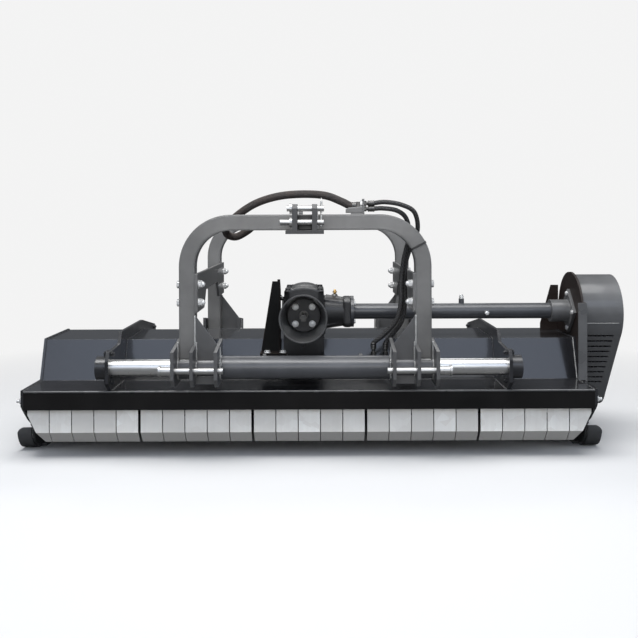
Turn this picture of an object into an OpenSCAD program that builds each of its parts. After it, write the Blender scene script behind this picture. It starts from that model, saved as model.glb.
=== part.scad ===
// Flail mower with a hitch carriage that shifts sideways on two tubes
// Millimetres, X across the machine, Y back from the front beam, Z up from the ground

/* [Body] */
// Width over the end plates
body_w = 2560; // [2300:10:2800]
// Height of the front and rear shelves
shelf_z = 315; // [305:1:325]
// Rise from the shelves to the hood top
hood_rise = 185; // [180:1:195]
// Depth of the front shelf
shelf_d = 255; // [245:1:262]
// Depth of the flat hood top
top_d = 356; // [350:1:365]
// Thickness of the hood sheet
sheet_t = 6; // [4:0.5:8]
// Thickness of each end plate
end_t = 10; // [8:1:14]

/* [Front beam and flaps] */
// Height of the front beam face
beam_h = 83; // [75:1:90]
// Diameter of the rod that carries the flaps
rod_d = 16; // [14:1:18]
// Thickness of a flap
flap_t = 5; // [4:0.5:6]
// Flaps in each bay
flap_n = 5; // [4:1:6]
// Gap between two bays of flaps
bay_gap = 12; // [11:1:16]

/* [Rotor and roller] */
// Diameter of the rotor tube
rotor_d = 168; // [160:1:172]
// Radius swept by the hammer tips
hammer_r = 205; // [195:1:210]
// Hammers on the rotor, in four rows
hammer_n = 24; // [16:4:24]
// Diameter of the rear roller
roller_d = 160; // [140:2:170]

/* [Slide and hitch carriage] */
// Diameter of the two slide tubes
tube_d = 75; // [70:1:80]
// Distance between the slide tubes
tube_gap = 925; // [910:1:940]
// Height of the slide tubes
tube_z = 416; // [412:1:420]
// Outside diameter of the carriage sleeves
sleeve_d = 102; // [98:1:106]
// Square size of the arch tube
arch_s = 70; // [64:1:74]
// Height of the arch top
arch_z = 1097; // [1060:1:1140]
// Outer radius of the arch bends
arch_r = 230; // [200:5:250]
// Diameter of the lower hitch pins
pin_d = 28; // [26:0.5:30]
// Diameter of the top link pins
top_pin_d = 25; // [22:0.5:27]

/* [Drive] */
// Height of the gearbox and drive tube
drive_z = 622; // [618:1:630]
// Diameter of the drive tube
drive_d = 76; // [70:1:82]
// Diameter of the power take-off guard rim
guard_d = 222; // [210:1:230]
// Pitch radius of the upper pulley
pulley_r = 130; // [120:1:136]
// Pitch radius of the lower pulley
rotor_pulley_r = 100; // [90:1:104]
// Width of the belt guard
belt_w = 190; // [182:1:210]

/* [Hidden] */
$fn = 64;

// Clearances
slip = 0.4;
run = 0.08;
bolt_slack = 0.5;
pin_slack = 0.3;

// Body lines, Y from the front beam face
half_w = body_w / 2;
in_w = half_w - end_t;
top_z = shelf_z + hood_rise;
slope_run = 65;
rear_run = 174;
foot_y = shelf_d;
top_y0 = foot_y + slope_run;
top_y1 = top_y0 + top_d;
back_y = top_y1 + rear_run;
tube_y = 20;
rear_tube_y = tube_y + tube_gap;
mid_y = tube_y + tube_gap / 2;
body_d = tube_gap + 2 * tube_y;
front_fold = tan(atan2(hood_rise, slope_run) / 2);
rear_fold = tan(atan2(hood_rise, rear_run) / 2);
rear_lip = 95;
beam_t = 8;
proud = 5;
plate_low = 45;

// Drive positions
gear_x = -27;
drive_y = 400;
rotor_y = top_y1 - 86;
rotor_z = 250;
roller_y = body_d - 65;
roller_z = roller_d / 2;
case_half = 96;
case_y = 120;
nose_y = 150;
neck_x = gear_x + case_half + 100;
neck_end = neck_x + 30;
back_t = 10;
guard_x0 = half_w + back_t;
guard_x1 = guard_x0 + belt_w;
guard_r = 177;
guard_low_r = 125;
guard_t = 3;
pulley_x = guard_x0 + 55;
groove_n = 5;
groove_w = 19;
pulley_w = groove_n * groove_w + 6;
belt_h = 11;
drive_c = [drive_y, drive_z];
rotor_c = [rotor_y, rotor_z];

// Skids
skid_out = half_w + 75;
skid_in = half_w - 25;
skid_t = 12;
web_t = 10;
tip_r = 115;
tip_round = 34;
tip_in = 0.8;
sole_y0 = 275;
sole_y1 = 740;
skid_bolt_y = [340, 530, 700];
skid_bolt_z = 76;
web_z = 108;

// Flaps
rod_y = 28;
rod_z = shelf_z - 47;
flap_gap = 4;
end_gap = 7;
bay_n = 5;
eye_d = rod_d + 11;
bay_w = (2 * in_w - 2 * end_gap - (bay_n - 1) * bay_gap) / bay_n;
flap_w = (bay_w - (flap_n - 1) * flap_gap) / flap_n;
flap_bend_z = 123;
flap_low_z = 72;
flap_kick = 40;

// Slide brackets
rib_x = half_w - 392;
rib_t = 15;
cap_l = 48;
cap_d = sleeve_d + 2;
cap_bolt = cap_d / 2 + 11;

// Hitch carriage, X from its own middle
hitch_x = -15;
sleeve_l = 580;
bush_l = 90;
sleeve_in = sleeve_d - 16;
lug_t = 15;
lug_f = -120;
lug_x = [sleeve_l - 8, sleeve_l - 90, sleeve_l - 195];
pin_y = -80;
pin_z = tube_z + 2;
leg_x = sleeve_l - 57;
leg_in = leg_x - arch_s / 2;
leg_out = leg_x + arch_s / 2;
leg_y0 = tube_y - arch_s / 2;
leg_y1 = tube_y + arch_s / 2;
arch_wall = 6;
link_t = 12;
link_z0 = 747;
link_z1 = 836;
link_low = 665;
link_bolt_z = [706, 787];
ear_x = 43;
ear_t = 23;
ear_top = 44;
top_pin_y = -70;
top_pin_z = [arch_z - 35, arch_z + 25];

// Side-shift cylinder, X from the middle of the carriage
cyl_y = 132;
cyl_z = tube_z - 4;
barrel_d = 66;
barrel_in = 50;
barrel_x0 = -275;
barrel_x1 = 415;
rod_dia = 32;
clamp_x = [-190, 250];
port_x = [310, 365];
port_z = cyl_z + 43;

// The origin is under the middle of the machine
centre_x = (guard_x1 - skid_out) / 2;

module place() translate([-centre_x, -mid_y, 0]) children();
module carriage() place() translate([hitch_x, 0, 0]) children();
module rear() translate([0, 2 * mid_y, 0]) mirror([0, 1, 0]) children();
module both() {
  children();
  mirror([1, 0, 0]) children();
}
module yz(x, t) translate([x, 0, 0]) rotate([90, 0, 90]) linear_extrude(t) children();
module xz(y, t) translate([0, y + t, 0]) rotate([90, 0, 0]) linear_extrude(t) children();
module bar_x(x0, x1, y, z, d) translate([x0, y, z]) rotate([0, 90, 0]) cylinder(d = d, h = x1 - x0);
module bar_y(y0, y1, x, z, d) translate([x, y1, z]) rotate([90, 0, 0]) cylinder(d = d, h = y1 - y0);
module bar_z(z0, z1, x, y, d) translate([x, y, z0]) cylinder(d = d, h = z1 - z0);
module hex_x(x0, x1, y, z, af)
  translate([x0, y, z]) rotate([0, 90, 0]) cylinder(d = af / cos(30), h = x1 - x0, $fn = 6);
module hex_y(y0, y1, x, z, af)
  translate([x, y1, z]) rotate([90, 0, 0]) cylinder(d = af / cos(30), h = y1 - y0, $fn = 6);
module hex_z(z0, z1, x, y, af)
  translate([x, y, z0]) cylinder(d = af / cos(30), h = z1 - z0, $fn = 6);
module dot(c, d) translate(c) circle(d = d);
module block(a, b) translate(a) cube(b - a);

// Outline of a belt round two pulleys, its straight runs a little flatter than the wraps
flat_in = 0.8;
module loop_face(r1, r2) {
  v = rotor_c - drive_c;
  t = atan2(v[1], v[0]);
  b = acos((r1 - r2) / norm(v));
  p = [cos(t + b), sin(t + b)];
  q = [cos(t - b), sin(t - b)];
  translate(drive_c) circle(r1);
  translate(rotor_c) circle(r2);
  polygon([
    drive_c + (r1 - flat_in) * p, rotor_c + (r2 - flat_in) * p,
    rotor_c + (r2 - flat_in) * q, drive_c + (r1 - flat_in) * q
  ]);
}

// Hood of folded sheet
hood_outline = [
  [beam_t, shelf_z], [foot_y, shelf_z], [top_y0, top_z], [top_y1, top_z],
  [back_y, shelf_z], [body_d, shelf_z], [body_d, shelf_z - rear_lip],
  [body_d - sheet_t, shelf_z - rear_lip], [body_d - sheet_t, shelf_z - sheet_t],
  [back_y - sheet_t * rear_fold, shelf_z - sheet_t],
  [top_y1 - sheet_t * rear_fold, top_z - sheet_t],
  [top_y0 + sheet_t * front_fold, top_z - sheet_t],
  [foot_y + sheet_t * front_fold, shelf_z - sheet_t], [beam_t, shelf_z - sheet_t]
];
module hood_shell() color("black") place() yz(-in_w, 2 * in_w) polygon(hood_outline);

// End plates, a little proud of the hood, cut away above the skid tip
end_outline = [
  [0, shelf_z + proud], [foot_y - proud * front_fold, shelf_z + proud],
  [top_y0 - proud * front_fold, top_z + proud], [top_y1 + proud * rear_fold, top_z + proud],
  [back_y + proud * rear_fold, shelf_z + proud], [body_d, shelf_z + proud],
  [body_d, 205], [820, 180], [770, plate_low], [300, plate_low], [275, 70], [200, 108],
  [131, 142], [89, 168], [20, 228], [0, 250]
];
bearing_bolt = 55;
roller_bolt_y = [roller_y - 45, roller_y + 45];
roller_bolt_z = 245;
module end_face() difference() {
  polygon(end_outline);
  dot(rotor_c, 110);
  dot([rod_y, rod_z], rod_d + bolt_slack);
  for (y = skid_bolt_y) dot([y, skid_bolt_z], 16 + bolt_slack);
  for (y = roller_bolt_y) dot([y, roller_bolt_z], 16 + bolt_slack);
  for (y = [-1, 1], z = [-1, 1]) dot(rotor_c + bearing_bolt * [y, z], 14 + bolt_slack);
}
module left_end_plate() color("black") place() yz(-half_w, end_t) end_face();
module right_end_plate() color("black") place() yz(in_w, end_t) end_face();

// Front beam with the hangers of the flap rod
module front_beam() color("black") place() difference() {
  union() {
    block([-in_w, 0, shelf_z - beam_h], [in_w, beam_t, shelf_z]);
    block([-in_w, beam_t, shelf_z - sheet_t - 8], [in_w, 60, shelf_z - sheet_t]);
    for (i = [1:bay_n - 1])
      translate([-in_w + end_gap + i * (bay_w + bay_gap) - bay_gap / 2, 0, 0])
        block([-4, beam_t, rod_z - 20], [4, 50, shelf_z - sheet_t - 8]);
  }
  bar_x(-in_w - 1, in_w + 1, rod_y, rod_z, rod_d + bolt_slack);
}

module flap_rod() color("silver") place() bar_x(-half_w - 26, half_w + 26, rod_y, rod_z, rod_d);

// Stone flaps, each with its own eye on the rod, the outermost corners cut away
module flap_side() difference() {
  union() {
    dot([rod_y, rod_z], eye_d);
    polygon([
      [rod_y + eye_d / 2 - flap_t, rod_z], [rod_y + eye_d / 2, rod_z],
      [rod_y + eye_d / 2, flap_bend_z + 2], [rod_y + eye_d / 2 + flap_kick, flap_low_z + 3],
      [rod_y + eye_d / 2 + flap_kick - 4, flap_low_z],
      [rod_y + eye_d / 2 - flap_t, flap_bend_z]
    ]);
  }
  dot([rod_y, rod_z], rod_d + 2 * slip);
}
module flap_corner() xz(0, 130)
  polygon([[-in_w - 1, 60], [-in_w + 84, 60], [-in_w + 77, 71], [-in_w + 45, 123],
           [-in_w + 9, 199], [-in_w - 1, 220]]);
module flap_bay(b) color("lightgray") place() difference() {
  for (j = [0:flap_n - 1])
    yz(-in_w + end_gap + b * (bay_w + bay_gap) + j * (flap_w + flap_gap), flap_w) flap_side();
  if (b == 0) flap_corner();
  if (b == bay_n - 1) mirror([1, 0, 0]) flap_corner();
}
module flap_bay_1() flap_bay(0);
module flap_bay_2() flap_bay(1);
module flap_bay_3() flap_bay(2);
module flap_bay_4() flap_bay(3);
module flap_bay_5() flap_bay(4);

// Skid, a runner with an upturned tip and a web against the end plate
module skid() difference() {
  union() {
    block([skid_in, sole_y0, 0], [skid_out, sole_y1, skid_t]);
    translate([half_w + web_t, sole_y0, tip_r]) rotate([90, 0, 90]) rotate([0, 0, 180])
      rotate_extrude(angle = 90) translate([tip_r - skid_t, 0])
        square([skid_t, skid_out - half_w - web_t]);
    translate([skid_in, sole_y1, 80]) rotate([90, 0, 90]) rotate([0, 0, 270])
      rotate_extrude(angle = 40) translate([80 - skid_t, 0]) square([skid_t, skid_out - skid_in]);
    yz(half_w, web_t) polygon([[250, 1], [sole_y1, 1], [sole_y1, web_z], [290, web_z], [250, 80]]);
  }
  for (y = skid_bolt_y) bar_x(half_w - 1, half_w + web_t + 1, y, skid_bolt_z, 16 + bolt_slack);
  translate([skid_out - tip_round + tip_in, sole_y0 - tip_r, tip_r - tip_round + tip_in]) difference() {
    block([0, -1, 0], [tip_round, 2 * skid_t + 16, tip_round]);
    bar_y(-2, 2 * skid_t + 17, 0, 0, 2 * tip_round);
  }
}
module right_skid() color("dimgray") place() skid();
module left_skid() color("dimgray") place() mirror([1, 0, 0]) skid();

// Slide brackets, tall plates over the hood that carry both tubes
rib_outline = [
  [10, shelf_z], [tube_y - 60, tube_z - 60], [tube_y - 60, tube_z + 38],
  [tube_y - 38, tube_z + 76], [tube_y + 45, tube_z + 76], [185, top_z],
  [215, top_z + 52], [660, top_z + 52], [rear_tube_y + 30, tube_z + 76],
  [rear_tube_y + 60, tube_z + 38], [rear_tube_y + 60, tube_z - 60], [body_d - 10, shelf_z],
  [back_y, shelf_z], [top_y1, top_z], [top_y0, top_z], [foot_y, shelf_z]
];
module rib_face() difference() {
  polygon(rib_outline);
  for (y = [tube_y, rear_tube_y]) {
    dot([y, tube_z], tube_d + 2 * run);
    for (s = [-1, 1]) dot([y, tube_z + s * cap_bolt], 12 + bolt_slack);
  }
}
module left_slide_bracket() color("black") place() yz(-rib_x - rib_t / 2, rib_t) difference() {
  rib_face();
  dot([cyl_y, cyl_z], rod_dia - 4 + bolt_slack);
}
module right_slide_bracket() color("black") place() yz(rib_x - rib_t / 2, rib_t) rib_face();

// Chrome slide tubes and the caps that hold their ends
tube_end = rib_x + rib_t / 2 + cap_l - 8;
module slide_tube(y) color("white") place() difference() {
  bar_x(-tube_end, tube_end, y, tube_z, tube_d);
  bar_x(-tube_end - 1, tube_end + 1, y, tube_z, tube_d - 20);
}
module front_slide_tube() slide_tube(tube_y);
module rear_slide_tube() slide_tube(rear_tube_y);
module tube_cap(y) difference() {
  union() {
    bar_x(rib_x + rib_t / 2, rib_x + rib_t / 2 + cap_l, y, tube_z, cap_d);
    translate([0, y - 21, tube_z - cap_bolt - 14])
      block([rib_x + rib_t / 2, 0, 0], [rib_x + rib_t / 2 + 10, 42, 2 * cap_bolt + 28]);
  }
  bar_x(0, tube_end, y, tube_z, tube_d + 2 * run);
  for (s = [-1, 1])
    bar_x(0, tube_end + cap_l, y, tube_z + s * cap_bolt, 12 + bolt_slack);
}
module tube_caps() color("black") place() both() for (y = [tube_y, rear_tube_y]) tube_cap(y);

// Gearbox pedestal, a plate box over the front corner of the hood top
ped_x = 96;
ped_z = top_z + 20;
ped_low = top_z - 75;
ped_y0 = 245;
ped_y1 = 570;
slope_y = foot_y + slope_run * (ped_low - shelf_z) / hood_rise;
foot_bolt_x = [-172, -99];
foot_bolt_y = ped_y0 - 25;
foot_y0 = ped_y0 - 42;
foot_t = 12;
foot_x0 = gear_x - 205;
module ped_side() polygon([
  [ped_y0, ped_low], [ped_y0, ped_z], [ped_y1, ped_z], [ped_y1, top_z], [top_y0, top_z],
  [slope_y, ped_low]
]);
module gearbox_pedestal() color("black") place() difference() {
  union() {
    for (x = [-ped_x, ped_x - 12]) yz(gear_x + x, 12) ped_side();
    yz(gear_x - ped_x, 2 * ped_x) intersection() {
      ped_side();
      union() {
        translate([ped_y0, ped_low]) square([10, 200]);
        translate([ped_y0, ped_z - 12]) square([ped_y1 - ped_y0, 12]);
      }
    }
    yz(foot_x0, gear_x - ped_x + 1 - foot_x0) intersection() {
      ped_side();
      translate([ped_y0, ped_low]) square([200, foot_t]);
    }
    block([foot_x0, foot_y0, ped_low], [gear_x - ped_x + 18, ped_y0, ped_low + foot_t]);
  }
  for (x = foot_bolt_x) bar_z(ped_low - 1, br_foot + 1, gear_x + x, foot_bolt_y, 16 + bolt_slack);
}

// Support bracket at the left of the gearbox
br_x = gear_x - case_half - 28;
br_y = ped_y0 - 10;
br_foot = ped_low + foot_t;
br_top = drive_z + 169;
br_bolt = [[drive_y - 100, drive_z + 78], [drive_y - 100, drive_z - 20]];
module gearbox_bracket() color("black") place() difference() {
  union() {
    yz(br_x, 12) polygon([[br_y, br_foot], [br_y, br_top], [br_y + 27, br_top], [br_y + 95, drive_z + 110],
                          [br_y + 95, top_z + 40], [top_y0 - 10, top_z], [br_y + 50, br_foot]]);
    xz(br_y, 10) polygon([[foot_x0 + 5, br_foot], [foot_x0 + 5, br_foot + 25],
                         [br_x - 24, br_top - 8], [br_x + 6, br_top - 8], [br_x + 6, br_foot]]);
    block([foot_x0, foot_y0, br_foot], [gear_x - ped_x + 15, ped_y0 - 1, br_foot + foot_t]);
    block([foot_x0, foot_y0, br_foot], [gear_x - ped_x - 1, br_y + 43, br_foot + foot_t]);
  }
  for (x = foot_bolt_x) bar_z(br_foot - 1, br_foot + foot_t + 1, gear_x + x, foot_bolt_y, 16 + bolt_slack);
  for (b = br_bolt) bar_x(br_x - 1, br_x + 13, b[0], b[1], 14 + bolt_slack);
}

// Cast gearbox case with its bearing noses, output neck and hollow for the gears
input_bolt = 40;
breather_x = gear_x + 150;
module about_drive() translate([0, 2 * drive_y, 0]) mirror([0, 1, 0]) children();
module case_plan(a, b, c) polygon([
  [-a, c - b], [c - a, -b], [a - c, -b], [a, c - b], [a, b - c], [a - c, b], [c - a, b], [-a, b - c]
]);
module lid_side() polygon([[0, 0], [74, 0], [68, 8], [54, 14], [34, 18], [0, 20]]);
module input_hole(x, z)
  bar_y(0, drive_y - nose_y + 25, gear_x + x * input_bolt, drive_z + z * input_bolt, 14 + bolt_slack);
module gearbox_case() color("black") place() difference() {
  union() {
    translate([gear_x, drive_y, ped_z]) linear_extrude(drive_z + 128 - ped_z)
      case_plan(case_half, case_y, 26);
    for (y = [-70, 0, 70]) block([gear_x - case_half - 7, drive_y + y - 5, ped_z],
                                 [gear_x + case_half + 7, drive_y + y + 5, drive_z - 60]);
    block([gear_x - case_half, drive_y - 140, ped_z],
          [gear_x + case_half, drive_y + 140, ped_z + 18]);
    bar_z(drive_z + 120, drive_z + 134, gear_x, drive_y, 156);
    translate([gear_x, drive_y, drive_z + 134]) rotate_extrude() lid_side();
    for (x = [-1, 1], y = [-1, 1])
      translate([gear_x + x * (case_half - 19), drive_y + y * (case_y - 19), drive_z + 128])
        block([-17, -17, -1], [17, 17, 10]);
    bar_y(drive_y - nose_y, drive_y + nose_y, gear_x, drive_z, 172);
    translate([gear_x + case_half - 2, drive_y, drive_z]) rotate([0, 90, 0])
      cylinder(d1 = 172, d2 = 140, h = 102);
    bar_x(neck_x, neck_end, drive_y, drive_z, 152);
    for (a = [45:90:315]) translate([gear_x + case_half - 4, drive_y, drive_z]) rotate([a, 0, 0])
      xz(-5, 10) polygon([[0, 60], [0, 96], [100, 74], [100, 60]]);
    bar_z(drive_z, drive_z + 86, breather_x, drive_y, 26);
    bar_x(gear_x - case_half - 12, gear_x, drive_y, drive_z, 150);
    for (b = br_bolt) bar_x(gear_x - case_half - 16, gear_x - case_half + 1, b[0], b[1], 30);
  }
  bar_y(drive_y - 90, drive_y + 90, gear_x, drive_z, 152);
  bar_y(0, 2 * drive_y, gear_x, drive_z, 45 + 2 * run);
  bar_x(gear_x, neck_end + 1, drive_y, drive_z, 40 + 2 * run);
  for (b = br_bolt) bar_x(gear_x - case_half - 17, gear_x - case_half + 12, b[0], b[1], 14 + bolt_slack);
  for (x = [-1, 1], z = [-1, 1]) {
    input_hole(x, z);
    about_drive() input_hole(x, z);
    bar_x(neck_end - 26, neck_end + 1, drive_y + x * 44, drive_z + z * 44, 12 + bolt_slack);
  }
}

// Bearing flanges at both ends of the input shaft
flange_t = 16;
module input_flange() difference() {
  bar_y(drive_y - nose_y - flange_t, drive_y - nose_y, gear_x, drive_z, 155);
  bar_y(0, drive_y, gear_x, drive_z, 45 + 2 * run);
  for (x = [-1, 1], z = [-1, 1]) input_hole(x, z);
}
module input_flanges() color("black") place() {
  input_flange();
  about_drive() input_flange();
}

// Guard cones round the two shaft ends
guard_y = 79;
guard_l = drive_y - nose_y - guard_y;
module pto_guard() translate([gear_x, drive_y - nose_y, drive_z]) rotate([90, 0, 0])
  rotate_extrude() polygon([
    [78.5, 0], [85.5, 0], [guard_d / 2 - 4, guard_l - 14], [guard_d / 2, guard_l - 11],
    [guard_d / 2, guard_l], [guard_d / 2 - 7, guard_l], [guard_d / 2 - 10, guard_l - 14]
  ]);
module pto_guards() color("black") place() {
  pto_guard();
  about_drive() pto_guard();
}

// Drive tube between the gearbox neck and the belt case
boss_x = half_w - 100;
module drive_tube() color("dimgray") place() difference() {
  union() {
    bar_x(neck_end, neck_end + 16, drive_y, drive_z, 152);
    bar_x(neck_end, boss_x + 40, drive_y, drive_z, drive_d);
    bar_z(drive_z, drive_z + drive_d / 2 + 22, 746, drive_y, 26);
    bar_z(drive_z, drive_z + drive_d / 2 + 40, 746, drive_y, 18);
    bar_y(drive_y - drive_d / 2 - 9, drive_y, 862, drive_z - 6, 24);
  }
  bar_x(neck_end - 1, boss_x + 41, drive_y, drive_z, drive_d - 14);
  for (y = [-1, 1], z = [-1, 1])
    bar_x(neck_end - 1, neck_end + 17, drive_y + y * 44, drive_z + z * 44, 12 + bolt_slack);
}

// Bearing boss with a diamond flange against the belt back plate
flange_r = 84;
module drive_bearing() color("dimgray") place() difference() {
  union() {
    bar_x(boss_x, half_w, drive_y, drive_z, 108);
    translate([half_w - 14, drive_y, drive_z]) rotate([90, 0, 90]) rotate([0, 0, 45])
      linear_extrude(14) square(150, center = true);
  }
  bar_x(boss_x - 1, boss_x + 40, drive_y, drive_z, drive_d + 2 * run);
  bar_x(boss_x, half_w + 1, drive_y, drive_z, 40 + 2 * run);
  for (a = [0:90:270])
    translate([0, drive_y + flange_r * cos(a), drive_z + flange_r * sin(a)])
      bar_x(half_w - 15, half_w + 1, 0, 0, 12 + bolt_slack);
}

// Tall plate behind the belts, with a stay that stands on the hood
lip_y = 170;
lip_w = 30;
stay_z = top_z + 232;
module belt_back_plate() color("black") place() union() {
  yz(half_w, back_t) difference() {
    union() {
      loop_face(guard_r + 13, guard_low_r + 13);
      translate([lip_y, shelf_z]) square([drive_y - lip_y, drive_z + 60 - shelf_z]);
    }
    dot(drive_c, 60);
    dot(rotor_c, 110);
    for (a = [0:90:270]) dot(drive_c + flange_r * [cos(a), sin(a)], 12 + bolt_slack);
    for (y = [-1, 1], z = [-1, 1]) dot(rotor_c + bearing_bolt * [y, z], 14 + bolt_slack);
  }
  block([half_w - lip_w, lip_y, shelf_z + proud + 3], [half_w + back_t, lip_y + 8, drive_z + 60]);
  xz(600, 8) polygon([[half_w - 91, top_z], [half_w - 91, top_z + 34], [half_w - 36, stay_z],
                      [half_w + 2, stay_z], [half_w + 2, top_z + proud], [in_w, top_z + proud],
                      [in_w, top_z]]);
}

// Belt guard, open towards the back plate, with cooling slots in its sloping front
slot_n = 10;
slot_pitch = 34;
belt_run = rotor_c - drive_c;
guard_lean = 180 + atan2(belt_run[1], belt_run[0]) - acos((guard_r - guard_low_r) / norm(belt_run));
module belt_guard() color("dimgray") place() difference() {
  union() {
    yz(guard_x1 - guard_t, guard_t) union() loop_face(guard_r, guard_low_r);
    yz(guard_x0, belt_w) difference() {
      loop_face(guard_r, guard_low_r);
      loop_face(guard_r - guard_t, guard_low_r - guard_t);
    }
  }
  for (i = [0:slot_n - 1])
    translate([0, drive_y, drive_z]) rotate([guard_lean, 0, 0])
      translate([0, -guard_r, -8 - i * slot_pitch])
        block([guard_x0 + 22, -10, -5], [guard_x1 - 36, 10, 5]);
}

// V-belts, pulleys and the shafts they sit on
module v_belts() color("black") place()
  for (i = [0:groove_n - 1])
    yz(pulley_x + 3 + groove_w * (i + 0.5) - 4.7, 9.4) difference() {
      loop_face(pulley_r + 4, rotor_pulley_r + 4);
      loop_face(pulley_r + 4 - belt_h, rotor_pulley_r + 4 - belt_h);
    }
function grooves(r) = [for (i = [0:groove_n - 1]) let (c = 3 + groove_w * (i + 0.5))
  each [[r + 4, c - 8], [r - 9, c - 5.2], [r - 9, c + 5.2], [r + 4, c + 8]]];
module pulley(c, r, bore) difference() {
  translate([pulley_x, c[0], c[1]]) rotate([0, 90, 0]) rotate_extrude()
    polygon(concat([[bore / 2, 0], [r + 4, 0]], grooves(r), [[r + 4, pulley_w], [bore / 2, pulley_w]]));
  for (a = [0:60:300])
    translate([0, c[0] + (r - 45) * cos(a), c[1] + (r - 45) * sin(a)])
      bar_x(pulley_x - 1, pulley_x + pulley_w + 1, 0, 0, 26);
}
module drive_pulley() color("gray") place() pulley(drive_c, pulley_r, 40 + 2 * run);
module rotor_pulley() color("gray") place() pulley(rotor_c, rotor_pulley_r, 60 + 2 * run);

// Straight bevel teeth on a cone with its tip at the origin
cone_r = 69.6;
cone_in = 47.6;
pinion_n = 9;
ring_n = 27;
pinion_cone = atan2(pinion_n, ring_n);
ring_cone = 90 - pinion_cone;
tip_rise = 3;
root_drop = 4.4;
function on_cone(r, d, a) = r * [sin(d) * cos(a), sin(d) * sin(a), cos(d)];
module tooth(d, root_half, tip_half) {
  lo = d - root_drop - 1;
  hi = d + tip_rise;
  polyhedron(
    points = [
      for (r = [cone_in, cone_r])
        each [on_cone(r, lo, -root_half), on_cone(r, lo, root_half),
              on_cone(r, hi, tip_half), on_cone(r, hi, -tip_half)]
    ],
    faces = [[3, 2, 1, 0], [4, 5, 6, 7], [1, 5, 4, 0], [2, 6, 5, 1], [3, 7, 6, 2], [0, 4, 7, 3]]
  );
}
module bevel_gear() color("gray") place() translate([gear_x, drive_y, drive_z]) rotate([90, 0, 0]) {
  a = on_cone(cone_in, ring_cone - root_drop, 0);
  b = on_cone(cone_r, ring_cone - root_drop, 0);
  rotate_extrude() polygon([[22.5 + run, a[2]], [a[0], a[2]], [b[0], b[2]], [b[0], b[2] + 10],
                            [38, b[2] + 24], [22.5 + run, b[2] + 24]]);
  for (i = [0:ring_n - 1]) rotate([0, 0, (i + 0.5) * 360 / ring_n]) tooth(ring_cone, 3.4, 1.4);
}
module drive_shaft() color("gray") place() translate([gear_x, drive_y, drive_z]) rotate([0, 90, 0])
  rotate([0, 0, -90]) {
    a = on_cone(cone_in, pinion_cone - root_drop, 0);
    b = on_cone(cone_r, pinion_cone - root_drop, 0);
    end = pulley_x + pulley_w + 6 - gear_x;
    rotate_extrude() polygon([[0, a[2]], [a[0], a[2]], [b[0], b[2]], [20, b[2] + 4], [20, end], [0, end]]);
    for (i = [0:pinion_n - 1]) rotate([0, 0, i * 360 / pinion_n]) tooth(pinion_cone, 9, 3.5);
  }

// Splined input shaft through the gearbox
spline_tip = 118;
module spline() translate([gear_x, drive_y, drive_z]) rotate([90, 0, 0]) intersection() {
  translate([0, 0, 100]) cylinder(d = 34.9, h = drive_y - spline_tip - 100);
  union() {
    cylinder(d = 29.6, h = drive_y);
    for (a = [0:60:300]) rotate([0, 0, a]) translate([0, -4.3, 0]) cube([18, 8.6, drive_y]);
  }
}
module pto_shaft() color("gray") place() {
  bar_y(drive_y - nose_y - flange_t - 4, drive_y + nose_y + flange_t + 4, gear_x, drive_z, 45);
  spline();
  about_drive() spline();
}

// Rotor, its hammers on bolts between welded lugs
rotor_l = in_w - 30;
pivot_r = 112;
hammer_eye = 36;
lug_half = hammer_eye / 2 + 0.6;
hammer_step = (2 * rotor_l - 90) / hammer_n;
function hammer_x(i) = -rotor_l + 45 + hammer_step * (i + 0.5);
function row_angle(i) = 45 + 90 * (i % 4);
module at_hammer(i) translate([hammer_x(i), rotor_y, rotor_z]) rotate([row_angle(i), 0, 0])
  translate([0, 0, pivot_r]) children();
module rotor_lug() difference() {
  union() {
    dot([0, 0], 44);
    translate([-22, 76 - pivot_r]) square([44, pivot_r - 76]);
  }
  dot([0, 0], 20 + bolt_slack);
}
module rotor() color("dimgray") place() {
  difference() {
    bar_x(-rotor_l, rotor_l, rotor_y, rotor_z, rotor_d);
    bar_x(-rotor_l + 20, rotor_l - 20, rotor_y, rotor_z, rotor_d - 16);
  }
  bar_x(-half_w - 42, -rotor_l + 20, rotor_y, rotor_z, 60);
  bar_x(rotor_l - 20, pulley_x + pulley_w + 6, rotor_y, rotor_z, 60);
  for (i = [0:hammer_n - 1]) at_hammer(i)
    for (x = [-lug_half - 12, lug_half]) yz(x, 12) rotor_lug();
}
module hammer_bolts() color("gray") place() for (i = [0:hammer_n - 1]) at_hammer(i) {
  bar_x(-lug_half - 12, lug_half + 12 + 14, 0, 0, 20);
  hex_x(-lug_half - 12 - 11, -lug_half - 12, 0, 0, 30);
  hex_x(lug_half + 12, lug_half + 12 + 12, 0, 0, 30);
}
reach = hammer_r - pivot_r;
module hammer() difference() {
  intersection() {
    yz(-50, 100) {
      dot([0, 0], 42);
      translate([-12, 0]) square([24, reach - 20]);
      polygon([[-12, reach - 45], [-20, reach - 8], [-14, reach], [22, reach], [12, reach - 45]]);
    }
    xz(-40, 80) polygon([
      [-hammer_eye / 2, -30], [hammer_eye / 2, -30], [hammer_eye / 2, reach - 50],
      [46, reach - 30], [46, reach], [-46, reach], [-46, reach - 30], [-hammer_eye / 2, reach - 50]
    ]);
  }
  bar_x(-60, 60, 0, 0, 20 + 2 * slip);
}
module hammer_row(k) color("dimgray") place() for (i = [k:4:hammer_n - 1]) at_hammer(i) hammer();
module hammers_1() hammer_row(0);
module hammers_2() hammer_row(1);
module hammers_3() hammer_row(2);
module hammers_4() hammer_row(3);

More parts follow.
